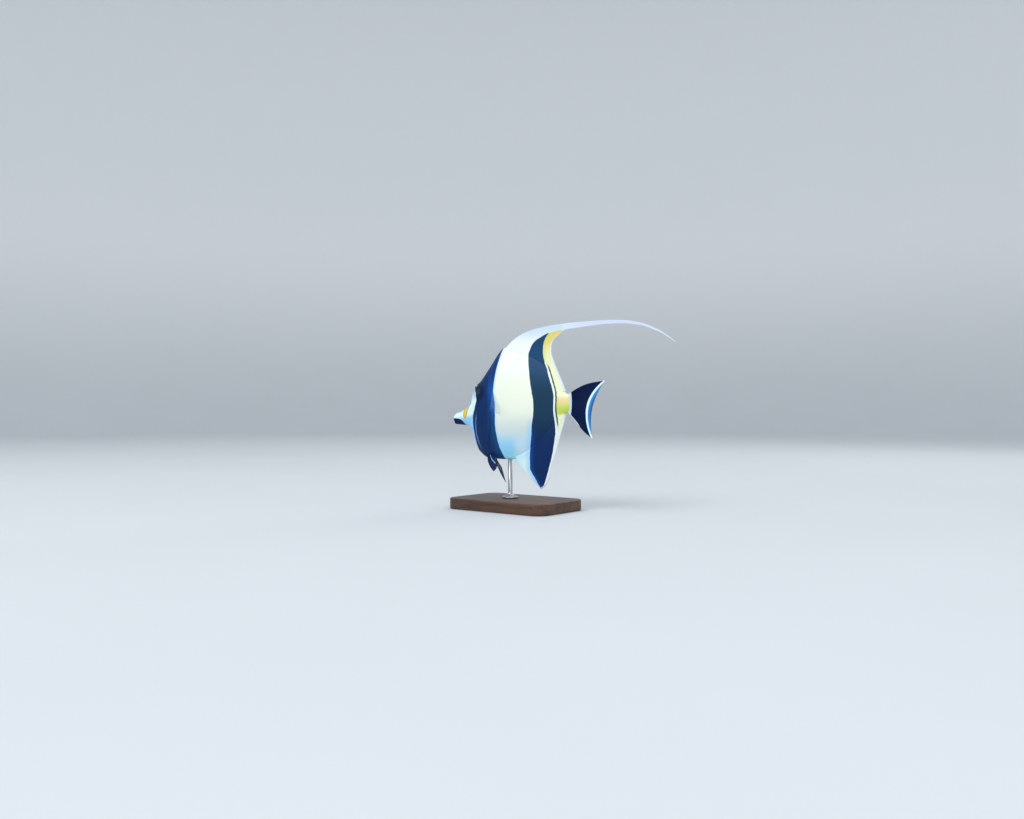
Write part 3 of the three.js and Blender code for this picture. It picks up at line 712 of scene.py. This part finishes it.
class Markings:
    """The fish's markings as one finish paints them, from the place on the body alone."""
    def __init__(self, finish):
        self.finish = finish
        self.paint, self.ease, self.fade, self.band = finish.mix, finish.ease, finish.fade, finish.band
        self.true_s, self.true_z = finish.body_axes()
        wander = finish.noise(260, 2) - 0.5
        feather = finish.noise(1500, 2) - 0.5
        self.s = self.true_s + wander * WANDER_ALONG + feather * FEATHER
        self.z = self.true_z + wander * WANDER_UP
        self.low = -self.z
        self.front_one, self.rear_one = self.edge(BAR_ONE_FRONT), self.edge(BAR_ONE_REAR)
        self.front_two = self.edge(BAR_TWO_FRONT)
        self.behind = self.s - self.edge(BAR_TWO_REAR)
        self.below_top = self.ease(self.along(YELLOW_TOP, 78, 100) - self.z, -0.2, 0.2)

    def edge(self, points, lowest=LOWEST, highest=HIGHEST):
        """The s of an edge that runs down the fish, at this height."""
        return self.finish.curve(self.z, points, lowest, highest, EDGE_TOP)

    def along(self, points, start, end):
        """The z of an edge that runs along the fish, at this s."""
        return self.finish.curve(self.s, points, start, end, LIFTED_TOP, LIFT)

    def white_body(self):
        """White, with painted shade that turns it darker and cooler below and sky blue on the belly, painted
        light low on the belly and at its rear, and blue beside the bars and up the streamer.
        """
        s, z, low, ease, paint = self.s, self.z, self.low, self.ease, self.paint
        forward = self.fade(s, 54, 66)
        # Painted shade: the white turns darker and cooler toward the bottom.
        colour = paint(ease(low, -6, 10) * 0.8, WHITE, SHADED_LOW_WHITE)
        # Painted shade: sky blue low on the belly, strongest toward the front.
        colour = paint(ease(low, 8, 21) * (forward * 0.6 + 0.4) * ease(z, -33, -27), colour, SKY)
        colour = paint(ease(low, 22, 30) * ease(s, 52, 59) * 0.85, colour, ANAL_WHITE)
        colour = paint(ease(z, 20, 44), colour, BACK_WHITE)
        # Painted light: the belly's lowest edge is painted lighter to offset its shade.
        colour = paint(ease(low, 23, 28) * forward * 0.7, colour, PAINTED_LIGHT_BELLY)
        # Painted light: the rear of the belly, near the anal fin, is painted lighter to offset its shade.
        painted_light_rear_belly = ease(low, 10, 20) * ease(s, 53, 61) * ease(z, -30, -24)
        colour = paint(painted_light_rear_belly * 0.85, colour, PAINTED_LIGHT_REAR_BELLY)
        fringe = ease(s - self.front_two, -5, -1) * ease(low, -2, 10)
        colour = paint(fringe * 0.8, colour, FRINGE_BLUE)
        beside_one = ease(self.rear_one + 2.4 - s, 0, 2.2) * ease(z, -32, -26)
        colour = paint(beside_one * 0.6, colour, SKY)
        colour = paint(ease(z, 48, 57) * 0.85, colour, PALE_BLUE)
        return paint(ease(s, 95, 106) * ease(z, 30, 40) * 0.8, colour, STREAMER_BLUE)

    def face(self, colour):
        """The pale face before the first bar, shaded toward the brow and blue below."""
        s, z, low, ease, paint = self.s, self.z, self.low, self.ease, self.paint
        before_one = ease(self.front_one - s, -0.3, 0.3)
        colour = paint(before_one, colour, FACE_WHITE)
        colour = paint(before_one * ease(z, 8.5, 18.5) * 0.8, colour, SHADE_BLUE)
        return paint(before_one * ease(low + s * 0.12, 0.6, 4.6), colour, FACE_BLUE)

    def rear_body(self, colour):
        """Cream, yellow beside the second bar at the top, and the stalk from peach to lime."""
        s, z, low, ease, paint, behind = self.s, self.z, self.low, self.ease, self.paint, self.behind
        rear = ease(behind, -CRISP, CRISP) * self.below_top
        colour = paint(rear, colour, CREAM)
        yellow = paint(ease(z, 40, 50), YELLOW, GOLD)
        strip_end = ease(z, 46, 53) * 5 + 5.4
        strip = rear * ease(z, 28, 47) * ease(strip_end - behind, -1, 1)
        colour = paint(strip, colour, yellow)
        colour = paint(rear * self.fade(behind, 0.8, 3.2) * 0.6, colour, GREENISH)
        colour = paint(rear * ease(low, 5, 12), colour, REAR_WHITE)
        stalk = ease(s, 89.4, 91) * ease(z, 0, 2.6)
        colour = paint(stalk * ease(low, -14.2, -10.4), colour, PEACH)
        colour = paint(stalk * ease(low, -10, -4), colour, LIME)
        return paint(ease(s, 99.1, 99.5) * ease(low, -30, -26), colour, STALK_BLUE)

    def rear_lines(self, colour):
        """The white line behind the second bar and the green line behind that."""
        white_line = self.band(self.behind, -0.1, 1.3, CRISP) * self.ease(self.low, -37, -33)
        colour = self.paint(white_line * self.below_top, colour, LINE_WHITE)
        green_line = self.band(self.behind, 1.3, 2.4, 0.15) * self.band(self.z, -6, 33, 2)
        return self.paint(green_line * 0.95, colour, LINE_GREEN)

    def second_bar(self, colour):
        """Slate above and navy below, with a lighter front rim."""
        s, z, low, ease, paint = self.s, self.z, self.low, self.ease, self.paint
        slate = paint(ease(z, 14, 34), SLATE, SLATE_BLUE)
        slate = paint(ease(low, -4, 22), slate, NAVY)
        rim = paint(ease(low, -4, 10), RIM_GREEN, RIM_BLUE)
        downward = ease(low, 4, 16)
        in_rim = ease(self.front_two + 1.8 + downward * 2 - s, 0, 2.4)
        slate = paint(in_rim * (downward * 0.4 + 0.5), slate, rim)
        bar = ease(s - self.front_two, -CRISP, CRISP) * self.fade(self.behind, -CRISP, CRISP)
        return paint(bar, colour, slate)

    def first_bar(self, colour):
        """Navy with a blue sheen at its rear, darker round the eye, with one light line."""
        s, z, low, ease, paint = self.s, self.z, self.low, self.ease, self.paint
        sheen = paint(ease(low, -6, 6), SHEEN, LOW_SHEEN)
        navy = paint(ease(self.rear_one - s, 1, 8).highest(ease(z, 10, 32) * 0.8), sheen, NAVY)
        back, up = s - 25.6, z - 15.6
        navy = paint(self.fade(back * back + up * up, 22, 72), navy, EYE_DEEP)
        bar = ease(s - self.front_one, -CRISP, CRISP) * ease(self.rear_one - s, -CRISP, CRISP)
        colour = paint(bar, colour, navy)
        from_line = s - self.edge(LIGHT_LINE, -30, 6)
        line = self.band(from_line, -0.3, 0.3, 0.2) * self.band(z, -21, 0, 3)
        return paint(line * 0.85, colour, LINE_BLUE)

    def snout(self, colour):
        """The golden saddle with its dark rim, the dark chin and the line of the mouth."""
        s, z, ease, paint = self.s, self.z, self.ease, self.paint
        inside = self.edge(SADDLE_HALF, -6, 10) - abs(s - (z * 0.05 + 12.6))
        colour = paint(ease(inside, -0.5, -0.3) * ease(z, -3.4, -2.9), colour, SADDLE_RIM)
        colour = paint(ease(inside, -CRISP, CRISP), colour, SADDLE)
        colour = paint(ease(self.along(CHIN_TOP, 0, 30) - z, -0.15, 0.15), colour, CHIN_DEEP)
        from_mouth = self.true_z - self.along(MOUTH_PAINT, -1, 4)
        mouth = self.band(from_mouth, -0.14, 0.14, 0.06) * self.fade(self.true_s, 3, 3.4)
        return paint(mouth, colour, MOUTH)


def idol_colour(finish):
    """All the markings, from the white under them to the mouth over them."""
    markings = Markings(finish)
    colour = markings.white_body()
    for layer in (markings.face, markings.rear_body, markings.rear_lines, markings.second_bar,
                  markings.first_bar, markings.snout):
        colour = layer(colour)
    return colour


# Finishes, with the depths of their bumps in millimetres
SCALES_PER_METRE = 900
SCALE_DEPTH, GRAIN_DEPTH = 0.09, 0.03
SATIN = dict(Specular_IOR_Level=0.14, Coat_Weight=0.03, Coat_Roughness=0.3)


def skin_finish():
    """The markings over small diamond scales that turn with the flank, darkened in the grooves between the
    scales as painted shade.
    """
    finish = Finish("painted_skin")
    grain = finish.noise(4000, 2)
    x, y, height = finish.axes()
    run = x + abs(y)
    lattice = finish.node("ShaderNodeCombineXYZ", {}, (run + height) * SCALES_PER_METRE,
                          (run - height) * SCALES_PER_METRE)
    scales = finish.node("ShaderNodeTexVoronoi", {"voronoi_dimensions": "2D"}, lattice, Scale=1.0,
                         Randomness=0.3)
    bump = finish.bump(-scales, SCALE_DEPTH, 0.7)
    bump = finish.bump(grain, GRAIN_DEPTH, 0.4, bump)
    # Painted shade: the colour is darkened by up to a tenth in the grooves between the scales.
    colour = finish.dim(idol_colour(finish), 1.0 - finish.ease(scales, 0.35, 0.7) * 0.1)
    return finish.close(Base_Color=colour, Roughness=0.42 + grain * 0.12, Normal=bump, **SATIN)


def fin_finish():
    """The same markings, with darker rays than the membrane between them and a pale margin."""
    finish = Finish("painted_fin")
    grain = finish.noise(3000, 2)
    ray = finish.kept("fin_ray") * finish.ease(finish.kept("fin_v"), 0.1, 0.5)
    margin = finish.fade(finish.kept("fin_edge") + grain * 0.5, 1.6, 2.2)
    colour = finish.mix(margin * 0.85, idol_colour(finish), MARGIN_WHITE)
    return finish.close(Base_Color=finish.dim(colour, 1.0 - ray * 0.14), Roughness=0.42 + grain * 0.14,
                        Normal=finish.bump(grain, 0.04, 0.5), **SATIN)


def tail_finish():
    """Dark navy, with a pale line and a clear blue margin that widen from the tips to the middle."""
    finish = Finish("painted_tail")
    u, v, ray = finish.kept("fin_u"), finish.kept("fin_v"), finish.kept("fin_ray")
    dark, dark_ray = rgb(2, 20, 58), rgb(12, 34, 84)
    line, margin, margin_end = rgb(210, 244, 255), rgb(46, 148, 222), rgb(20, 76, 150)
    spread = u * 2 - 1
    wander = (finish.noise(900, 2) - 0.5) * 0.02
    beyond = v + wander - (spread * spread * 0.2 + 0.79)
    colour = finish.mix(ray * 0.25, dark, dark_ray)
    margin = finish.mix(finish.ease(beyond, 0.04, 0.2), margin, margin_end)
    colour = finish.mix(finish.ease(beyond, 0.02, 0.05), colour, margin)
    colour = finish.mix(finish.band(beyond, -0.044, 0.044, 0.012), colour, line)
    colour = finish.mix(finish.ease(v + wander * 0.3, 0.115, 0.13), idol_colour(finish), colour)
    lowest_ray = finish.ease(u, 0.955, 0.965) * finish.fade(v, 0.4, 0.5)
    colour = finish.mix(lowest_ray, colour, PALE_BLUE)
    clear = finish.ease(beyond, 0.035, 0.06) * (0.36 - ray * 0.26)
    return finish.close(Base_Color=colour, Alpha=1.0 - clear, Roughness=0.48, Specular_IOR_Level=0.06,
                        Normal=finish.bump(finish.noise(3000, 2), 0.04, 0.5))


def pectoral_finish():
    """A clear membrane tinted blue as a painted sheen, between pale rays, solid at the root."""
    finish = Finish("clear_fin")
    v, ray = finish.kept("fin_v"), finish.kept("fin_ray")
    # Painted sheen: the clear membrane and the rays are tinted blue.
    membrane, pale_ray, root = rgb(84, 152, 226), rgb(178, 210, 240), rgb(40, 70, 120)
    solid = finish.fade(v, 0.04, 0.2)
    colour = finish.mix(solid, finish.mix(ray, membrane, pale_ray), root)
    cover = (ray * 0.14 + 0.03 + finish.noise(700, 2) * 0.05).highest(solid)
    return finish.close(Base_Color=colour, Alpha=cover, Roughness=0.35)


def pelvic_finish():
    """Near black, with a painted highlight: one pale line along a ray."""
    finish = Finish("dark_fin")
    u, v, ray = finish.kept("fin_u"), finish.kept("fin_v"), finish.kept("fin_ray")
    dark_ray, highlight_line = rgb(28, 52, 104), rgb(150, 198, 244)
    colour = finish.mix(ray * 0.5, DEEP, dark_ray)
    across = finish.band(u + finish.noise(300, 2) * 0.06, 0.62, 0.71, 0.03)
    # Painted highlight: a pale blue line along one ray.
    colour = finish.mix(across * finish.band(v, 0.12, 0.82, 0.08), colour, highlight_line)
    return finish.close(Base_Color=colour, Roughness=0.42, Specular_IOR_Level=0.14)


def eye_finish():
    """Pupil, thin gold ring, dark brown iris and dark rim, from the distance to the eye's axis."""
    finish = Finish("painted_eye")
    away = finish.kept("from_axis")
    flecks = finish.noise(2600, 3)
    iris, iris_fleck, rim = rgb(6, 8, 14), rgb(32, 24, 24), rgb(10, 12, 20)
    gold, pupil = rgb(160, 120, 64), rgb(1, 1, 3)
    colour = finish.mix(flecks, iris, iris_fleck)
    colour = finish.mix(finish.ease(away, 0.42, 0.56), colour, rim)
    ring = finish.band(away + (flecks - 0.5) * 0.02, 0.27, 0.32, 0.012)
    colour = finish.mix(ring * 0.38, colour, gold)
    colour = finish.mix(finish.fade(away, 0.255, 0.275), colour, pupil)
    return finish.close(Base_Color=colour, Roughness=0.4 + flecks * 0.1, Specular_IOR_Level=0.1)


def cornea_finish():
    """A clear film that shows by what it mirrors."""
    finish = Finish("clear_cornea")
    smear = finish.noise(500, 1)
    return finish.close(Base_Color=(1, 1, 1, 1), Metallic=1.0, Roughness=smear * 0.03 + 0.02,
                        Alpha=0.018)


def horn_finish():
    """Dark bone at the root, worn pale at the tip."""
    finish = Finish("horn_bone")
    up, mottle = finish.kept("along_horn"), finish.noise(1800, 3)
    root, tip = rgb(34, 44, 60), rgb(196, 204, 200)
    colour = finish.mix(finish.ease(up + mottle * 0.3, 0.35, 0.95), root, tip)
    return finish.close(Base_Color=colour, Roughness=0.45 + mottle * 0.2,
                        Normal=finish.bump(mottle, 0.08, 0.6))


def wood_finish():
    """Dark oiled wood with its grain along the base."""
    finish = Finish("dark_wood")
    rings = finish.grain(5, 55, 90, 4.0, 0.6)
    fibres = finish.grain(40, 1400, 1400, 3.0)
    early, late, pore = rgb(50, 30, 20), rgb(92, 60, 38), rgb(34, 20, 14)
    colour = finish.mix(finish.ease(rings, 0.35, 0.65), early, late)
    colour = finish.mix(finish.ease(fibres, 0.52, 0.7) * 0.5, colour, pore)
    return finish.close(Base_Color=colour, Roughness=0.42 + fibres * 0.16, Coat_Weight=0.15,
                        Coat_Roughness=0.2, Normal=finish.bump(fibres, 0.06, 0.5))


def steel_finish():
    """Steel turned on a lathe and brushed round."""
    finish = Finish("brushed_steel")
    lines = finish.grain(30, 30, 6000, 3.0)
    colour = finish.mix(lines, rgb(150, 153, 156), rgb(206, 208, 210))
    return finish.close(Base_Color=colour, Metallic=1.0, Roughness=0.24 + lines * 0.16,
                        Normal=finish.bump(lines, 0.03, 0.4))


def paper_finish():
    """Pale studio paper, a little lighter up the backdrop."""
    finish = Finish("studio_paper")
    mottle = finish.noise(3, 2)
    height = finish.axes()[2]
    colour = finish.mix(mottle, rgb(200, 205, 210), rgb(206, 211, 216))
    colour = finish.mix(finish.ease(height, 0, 1.2), colour, rgb(240, 243, 246))
    return finish.close(Base_Color=colour, Roughness=0.9)


# Pieces
def add_object(name, bm, material):
    for face in bm.faces:
        face.smooth = True
    mesh = bpy.data.meshes.new(name)
    bm.to_mesh(mesh)
    bm.free()
    mesh.materials.append(material)
    piece = bpy.data.objects.new(name, mesh)
    bpy.context.scene.collection.objects.link(piece)
    return piece


def add_piece(name, bm, material, slot, *nodes):
    """Adds a piece that stands for the part's nodes."""
    piece = add_object(name, bm, material)
    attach(piece, "root")
    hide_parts(*nodes)


def lathe(profile, steps, kept=None):
    """A turned piece round the Z axis from (radius, height) pairs. Its points can keep their
    distance from the axis, or their height, as a share of the whole."""
    bm = bmesh.new()
    verts = [bm.verts.new((radius, 0, height)) for radius, height in profile]
    edges = [bm.edges.new(pair) for pair in zip(verts, verts[1:])]
    bmesh.ops.spin(bm, geom=verts + edges, cent=(0, 0, 0), axis=(0, 0, 1), angle=2 * math.pi,
                   steps=steps, use_merge=True)
    seal(bm)
    if kept:
        layer = bm.verts.layers.float.new(kept)
        widest = max(radius for radius, _ in profile)
        highest = max(height for _, height in profile)
        for vert in bm.verts:
            vert[layer] = vert.co.z / highest if kept == "along_horn" else vert.co.xy.length / widest
    return bm


def lathe_by(scale, profile, steps, kept=None):
    """A turned piece from a profile in units of its own."""
    return lathe([(radius * scale, height * scale) for radius, height in profile], steps, kept)


def skin_normal(s, z, side):
    step = 0.6

    def skin(a, b):
        return at(a, side * half_width_at(a, b), b)

    along = skin(s + step, z) - skin(s - step, z)
    up = skin(s, z + step) - skin(s, z - step)
    return (along.cross(up) * side).normalized()


def standing(root, out):
    """Turns a piece made along Z to stand on its root along another direction."""
    return Matrix.Translation(root) @ out.to_track_quat("Z", "Y").to_matrix().to_4x4()


def eye_matrix(side):
    """Places an eye whose axis is Z on the skin, its widest circle sunk in the socket."""
    normal = skin_normal(EYE_S, EYE_Z, side)
    centre = at(EYE_S, side * half_width_at(EYE_S, EYE_Z), EYE_Z)
    centre += normal * EYE_RADIUS * PERCENT * (EYE_STANDOUT - EYE_FLATNESS)
    return standing(centre, normal)


def eye_height(radius):
    return EYE_FLATNESS * math.sqrt(max(0.0, 1 - radius ** 2))


EYE_STEPS = 56
BALL_EDGE = (0.99, 0.95, 0.88, 0.8, 0.72, 0.66)
IRIS = ((0.635, 0.462), (0.6, 0.43), (0.52, 0.436), (0.44, 0.45), (0.36, 0.464), (0.3, 0.472), (0.272, 0.466))
PUPIL = ((0.26, 0.468), (0.22, 0.486), (0.16, 0.5), (0.08, 0.508), (0, 0.51))
CORNEA_RADIUS, CORNEA_SWELL, CORNEA_DEPTH = 0.6, 0.004, 0.035


def eyeball():
    """The ball with a hollow in front for the iris and a rounded pupil in the middle."""
    turns = [math.pi * i / 36 for i in range(19)]
    back = [(math.sin(a), -EYE_FLATNESS * math.cos(a)) for a in turns]
    front = [(r, eye_height(r)) for r in BALL_EDGE]
    return lathe_by(EYE_RADIUS * PERCENT, [*back, *front, *IRIS, *PUPIL], EYE_STEPS, "from_axis")


def cornea():
    """The clear front of the eye, a thin closed shell over the iris."""
    radii = [CORNEA_RADIUS * (1 - i / 12) for i in range(13)]
    outer = [(r, eye_height(r) + CORNEA_SWELL * (1 - r)) for r in reversed(radii)]
    inner = [(r, eye_height(r) - CORNEA_DEPTH) for r in radii]
    return lathe_by(EYE_RADIUS * PERCENT, outer + inner, EYE_STEPS)


HORN_S, HORN_Z, HORN_LENGTH, HORN_RADIUS, HORN_SUNK = 23.2, 20.3, 3.6, 1.1, 1.4
HORN_SLIMNESS = 0.97
HORN_PROFILE = (
    (0, 0), (1, 0), (0.99, 0.12), (0.94, 0.25), (0.85, 0.4), (0.72, 0.56), (0.57, 0.72), (0.42, 0.85),
    (0.28, 0.94), (0.13, 0.985), (0, 0.995))


def horn(side):
    """A small blunt spine that stands before the eye."""
    radius, length = HORN_RADIUS * HORN_SLIMNESS * PERCENT, HORN_LENGTH * PERCENT
    bm = lathe([(r * radius, h * length) for r, h in HORN_PROFILE], 28, "along_horn")
    out = direction(-0.55, side * 0.5, 0.66).normalized()
    root = at(HORN_S, side * half_width_at(HORN_S, HORN_Z), HORN_Z) - out * HORN_SUNK * PERCENT
    bmesh.ops.transform(bm, matrix=standing(root, out), verts=bm.verts)
    return bm


BASE_SIZE = (0.132, 0.084, 0.012)
BASE_CORNER, BASE_BEVEL, BASE_INSET = 0.014, 0.0015, 0.0005


def base():
    """A flat board with rounded corners and softened edges."""
    height = BASE_SIZE[2]
    softly = dict(profile=0.5, affect="EDGES", material=-1)
    bm = bmesh.new()
    bmesh.ops.create_cube(bm, size=1.0)
    bmesh.ops.scale(bm, vec=BASE_SIZE, verts=bm.verts)
    bmesh.ops.translate(bm, vec=(0, 0, height / 2), verts=bm.verts)
    upright = [e for e in bm.edges if abs(e.verts[0].co.z - e.verts[1].co.z) > height / 2]
    bmesh.ops.bevel(bm, geom=upright, offset=BASE_CORNER, segments=16, **softly)
    rims = [e for e in bm.edges if abs(e.calc_face_angle(0)) > 1.2]
    bmesh.ops.bevel(bm, geom=rims, offset=BASE_BEVEL, segments=5, **softly)
    flat = [f for f in bm.faces if f.calc_area() > 0.002]
    bmesh.ops.inset_region(bm, faces=flat, thickness=BASE_INSET)
    bmesh.ops.recalc_face_normals(bm, faces=bm.faces)
    return bm


ROD_PLACE = 50
ROD_RADIUS = 2.5
ROD_LIFT = 0.0003
# The foot's profile in millimetres, as (radius, height)
FOOT = ((0, 0), (8.7, 0), (8.92, 0.1), (9, 0.3), (9, 1.3), (8.9, 1.55), (8.6, 1.75), (8, 2), (6.2, 2.6),
        (4.6, 3.2), (3.6, 3.9), (2.95, 4.8), (2.6, 5.8), (ROD_RADIUS, 6.8))


def rod():
    """The rod and its turned foot, up to just inside the belly."""
    foot_place = BASE_SIZE[2] + ROD_LIFT
    top = (SNOUT_HEIGHT + (belly_at(ROD_PLACE) + 0.6) * PERCENT - foot_place) / MM
    bm = lathe_by(MM, [*FOOT, (ROD_RADIUS, top), (0, top)], 64)
    bmesh.ops.translate(bm, vec=((ROD_PLACE - BALANCE) * PERCENT, 0, foot_place), verts=bm.verts)
    return bm


def add_median_fins():
    """The fins and the streamer in the fish's middle plane, and the tail fin."""
    fin_paint = fin_finish()
    bm = blade(dorsal_middle, fleshy(dorsal_middle, 2.2, 0.24, 7), ridges(0.24, 0.7),
               rays=38, columns=304, rows=70)
    add_piece("dorsal_fin_rayed", bm, fin_paint, "fin", "dorsal_fin")
    bm = blade(streamer_middle, out_of_dorsal(0.34, 0.16), out_of_dorsal(0.22, 0.05),
               rays=3, columns=24, rows=200, branching=2.0)
    add_piece("streamer", bm, fin_paint, "fin", "dorsal_streamer")
    bm = blade(anal_middle, fleshy(anal_middle, 2.2, 0.24, 7), ridges(0.24, 0.7),
               rays=33, columns=264, rows=60)
    add_piece("anal_fin_rayed", bm, fin_paint, "fin", "anal_fin")
    bm = blade(tail_middle, taper(2.0, 0.22), ridges(0.3, 0.6), rays=17, columns=204, rows=56,
               branching=0.3)
    add_piece("tail_fin_rayed", bm, tail_finish(), "fin", "tail_fin")


def add_side_pieces():
    """The pectoral and pelvic fins, eyes and brow horns, left and then right."""
    clear_paint, dark_paint = pectoral_finish(), pelvic_finish()
    eye_paint, cornea_paint, horn_paint = eye_finish(), cornea_finish(), horn_finish()
    for name, side in SIDES.items():
        bm = blade(pectoral_middle(side), taper(0.7, 0.14), ridges(0.16, 0.6),
                   rays=18, columns=144, rows=36, branching=0.45)
        add_piece(f"pectoral_{name}_rayed", bm, clear_paint, "fin", f"pectoral_fin_{name}")
        bm = blade(pelvic_middle(name, side), taper(0.7, 0.2), ridges(0.25, 0.6),
                   rays=6, columns=72, rows=40, branching=0.4)
        add_piece(f"pelvic_{name}_rayed", bm, dark_paint, "fin", f"pelvic_fin_{name}")
        for kind, bm, paint in (("eyeball", eyeball(), eye_paint), ("cornea", cornea(), cornea_paint)):
            bmesh.ops.transform(bm, matrix=eye_matrix(side), verts=bm.verts)
            add_piece(f"{kind}_{name}", bm, paint, "eye", f"eye_{name}")
        add_piece(f"brow_horn_{name}", horn(side), horn_paint, "horn", f"horn_{name}")


add_piece("skin", build_skin(), skin_finish(), "skin", "head", "snout", "lower_jaw", "torso",
          "tail_stalk")
add_median_fins()
add_side_pieces()
add_piece("wooden_base", base(), wood_finish(), "stand_wood", "stand_base")
add_piece("steel_rod", rod(), steel_finish(), "stand_steel", "stand_rod")

# Studio
FLOOR_RADIUS, WALL_CURVE, WALL_TOP = 3.2, 1.6, 4.2
FLOOR_DROP = 0.0002
LIGHTS_AIM = Vector((0.03, 0, 0.12))
COOL_LIGHT = (0.94, 0.97, 1)


def studio():
    """A round pale floor that curves up into the backdrop, just under the base."""
    turns = [math.pi / 48 * i for i in range(1, 25)]
    curve = [(FLOOR_RADIUS + WALL_CURVE * math.sin(a), WALL_CURVE * (1 - math.cos(a))) for a in turns]
    profile = [(0, 0), (FLOOR_RADIUS, 0), *curve, (FLOOR_RADIUS + WALL_CURVE, WALL_TOP)]
    bm = lathe([(radius, height - FLOOR_DROP) for radius, height in profile], 96)
    bmesh.ops.reverse_faces(bm, faces=bm.faces)
    add_object("studio_floor", bm, paper_finish())


def area_light(name, place, size, power, color=(1, 1, 1)):
    data = bpy.data.lights.new(name, "AREA")
    data.shape = "DISK"
    data.size, data.energy, data.color = size, power, color
    lamp = bpy.data.objects.new(name, data)
    lamp.location = place
    lamp.rotation_euler = (LIGHTS_AIM - Vector(place)).to_track_quat("-Z", "Y").to_euler()
    bpy.context.scene.collection.objects.link(lamp)


def studio_air():
    """Even cool light from all round."""
    world = bpy.data.worlds.new("studio_air")
    world.use_nodes = True
    background = world.node_tree.nodes["Background"]
    background.inputs["Color"].default_value = (0.92, 0.96, 1, 1)
    background.inputs["Strength"].default_value = 0.55
    bpy.context.scene.world = world


studio()
area_light("key_softbox", (-0.5, -2.2, 2.2), 1.6, 43)
area_light("fill_softbox", (1.5, -1.0, 0.6), 1.2, 7, COOL_LIGHT)
area_light("back_softbox", (0.3, 1.5, 1.2), 1.2, 5)
area_light("top_softbox", (0, 0.2, 3.6), 4.0, 40)
studio_air()
bpy.context.scene.view_settings.view_transform = "Standard"

# The camera, level, 38 degrees from square on to the fish's left side
CAMERA_PLACE = Vector((608.587, -784.207, 109.865)) * MM
CAMERA_TURN = math.radians(38)
FOCAL_PIXELS = 900
FRAME_WIDTH = 1024
lens = bpy.data.cameras.new("photo_view")
lens.sensor_width = 36
lens.lens = FOCAL_PIXELS * lens.sensor_width / FRAME_WIDTH
camera = bpy.data.objects.new("photo_view", lens)
camera.location = CAMERA_PLACE
camera.rotation_euler = (math.pi / 2, 0, CAMERA_TURN)
bpy.context.scene.collection.objects.link(camera)
bpy.context.scene.camera = camera
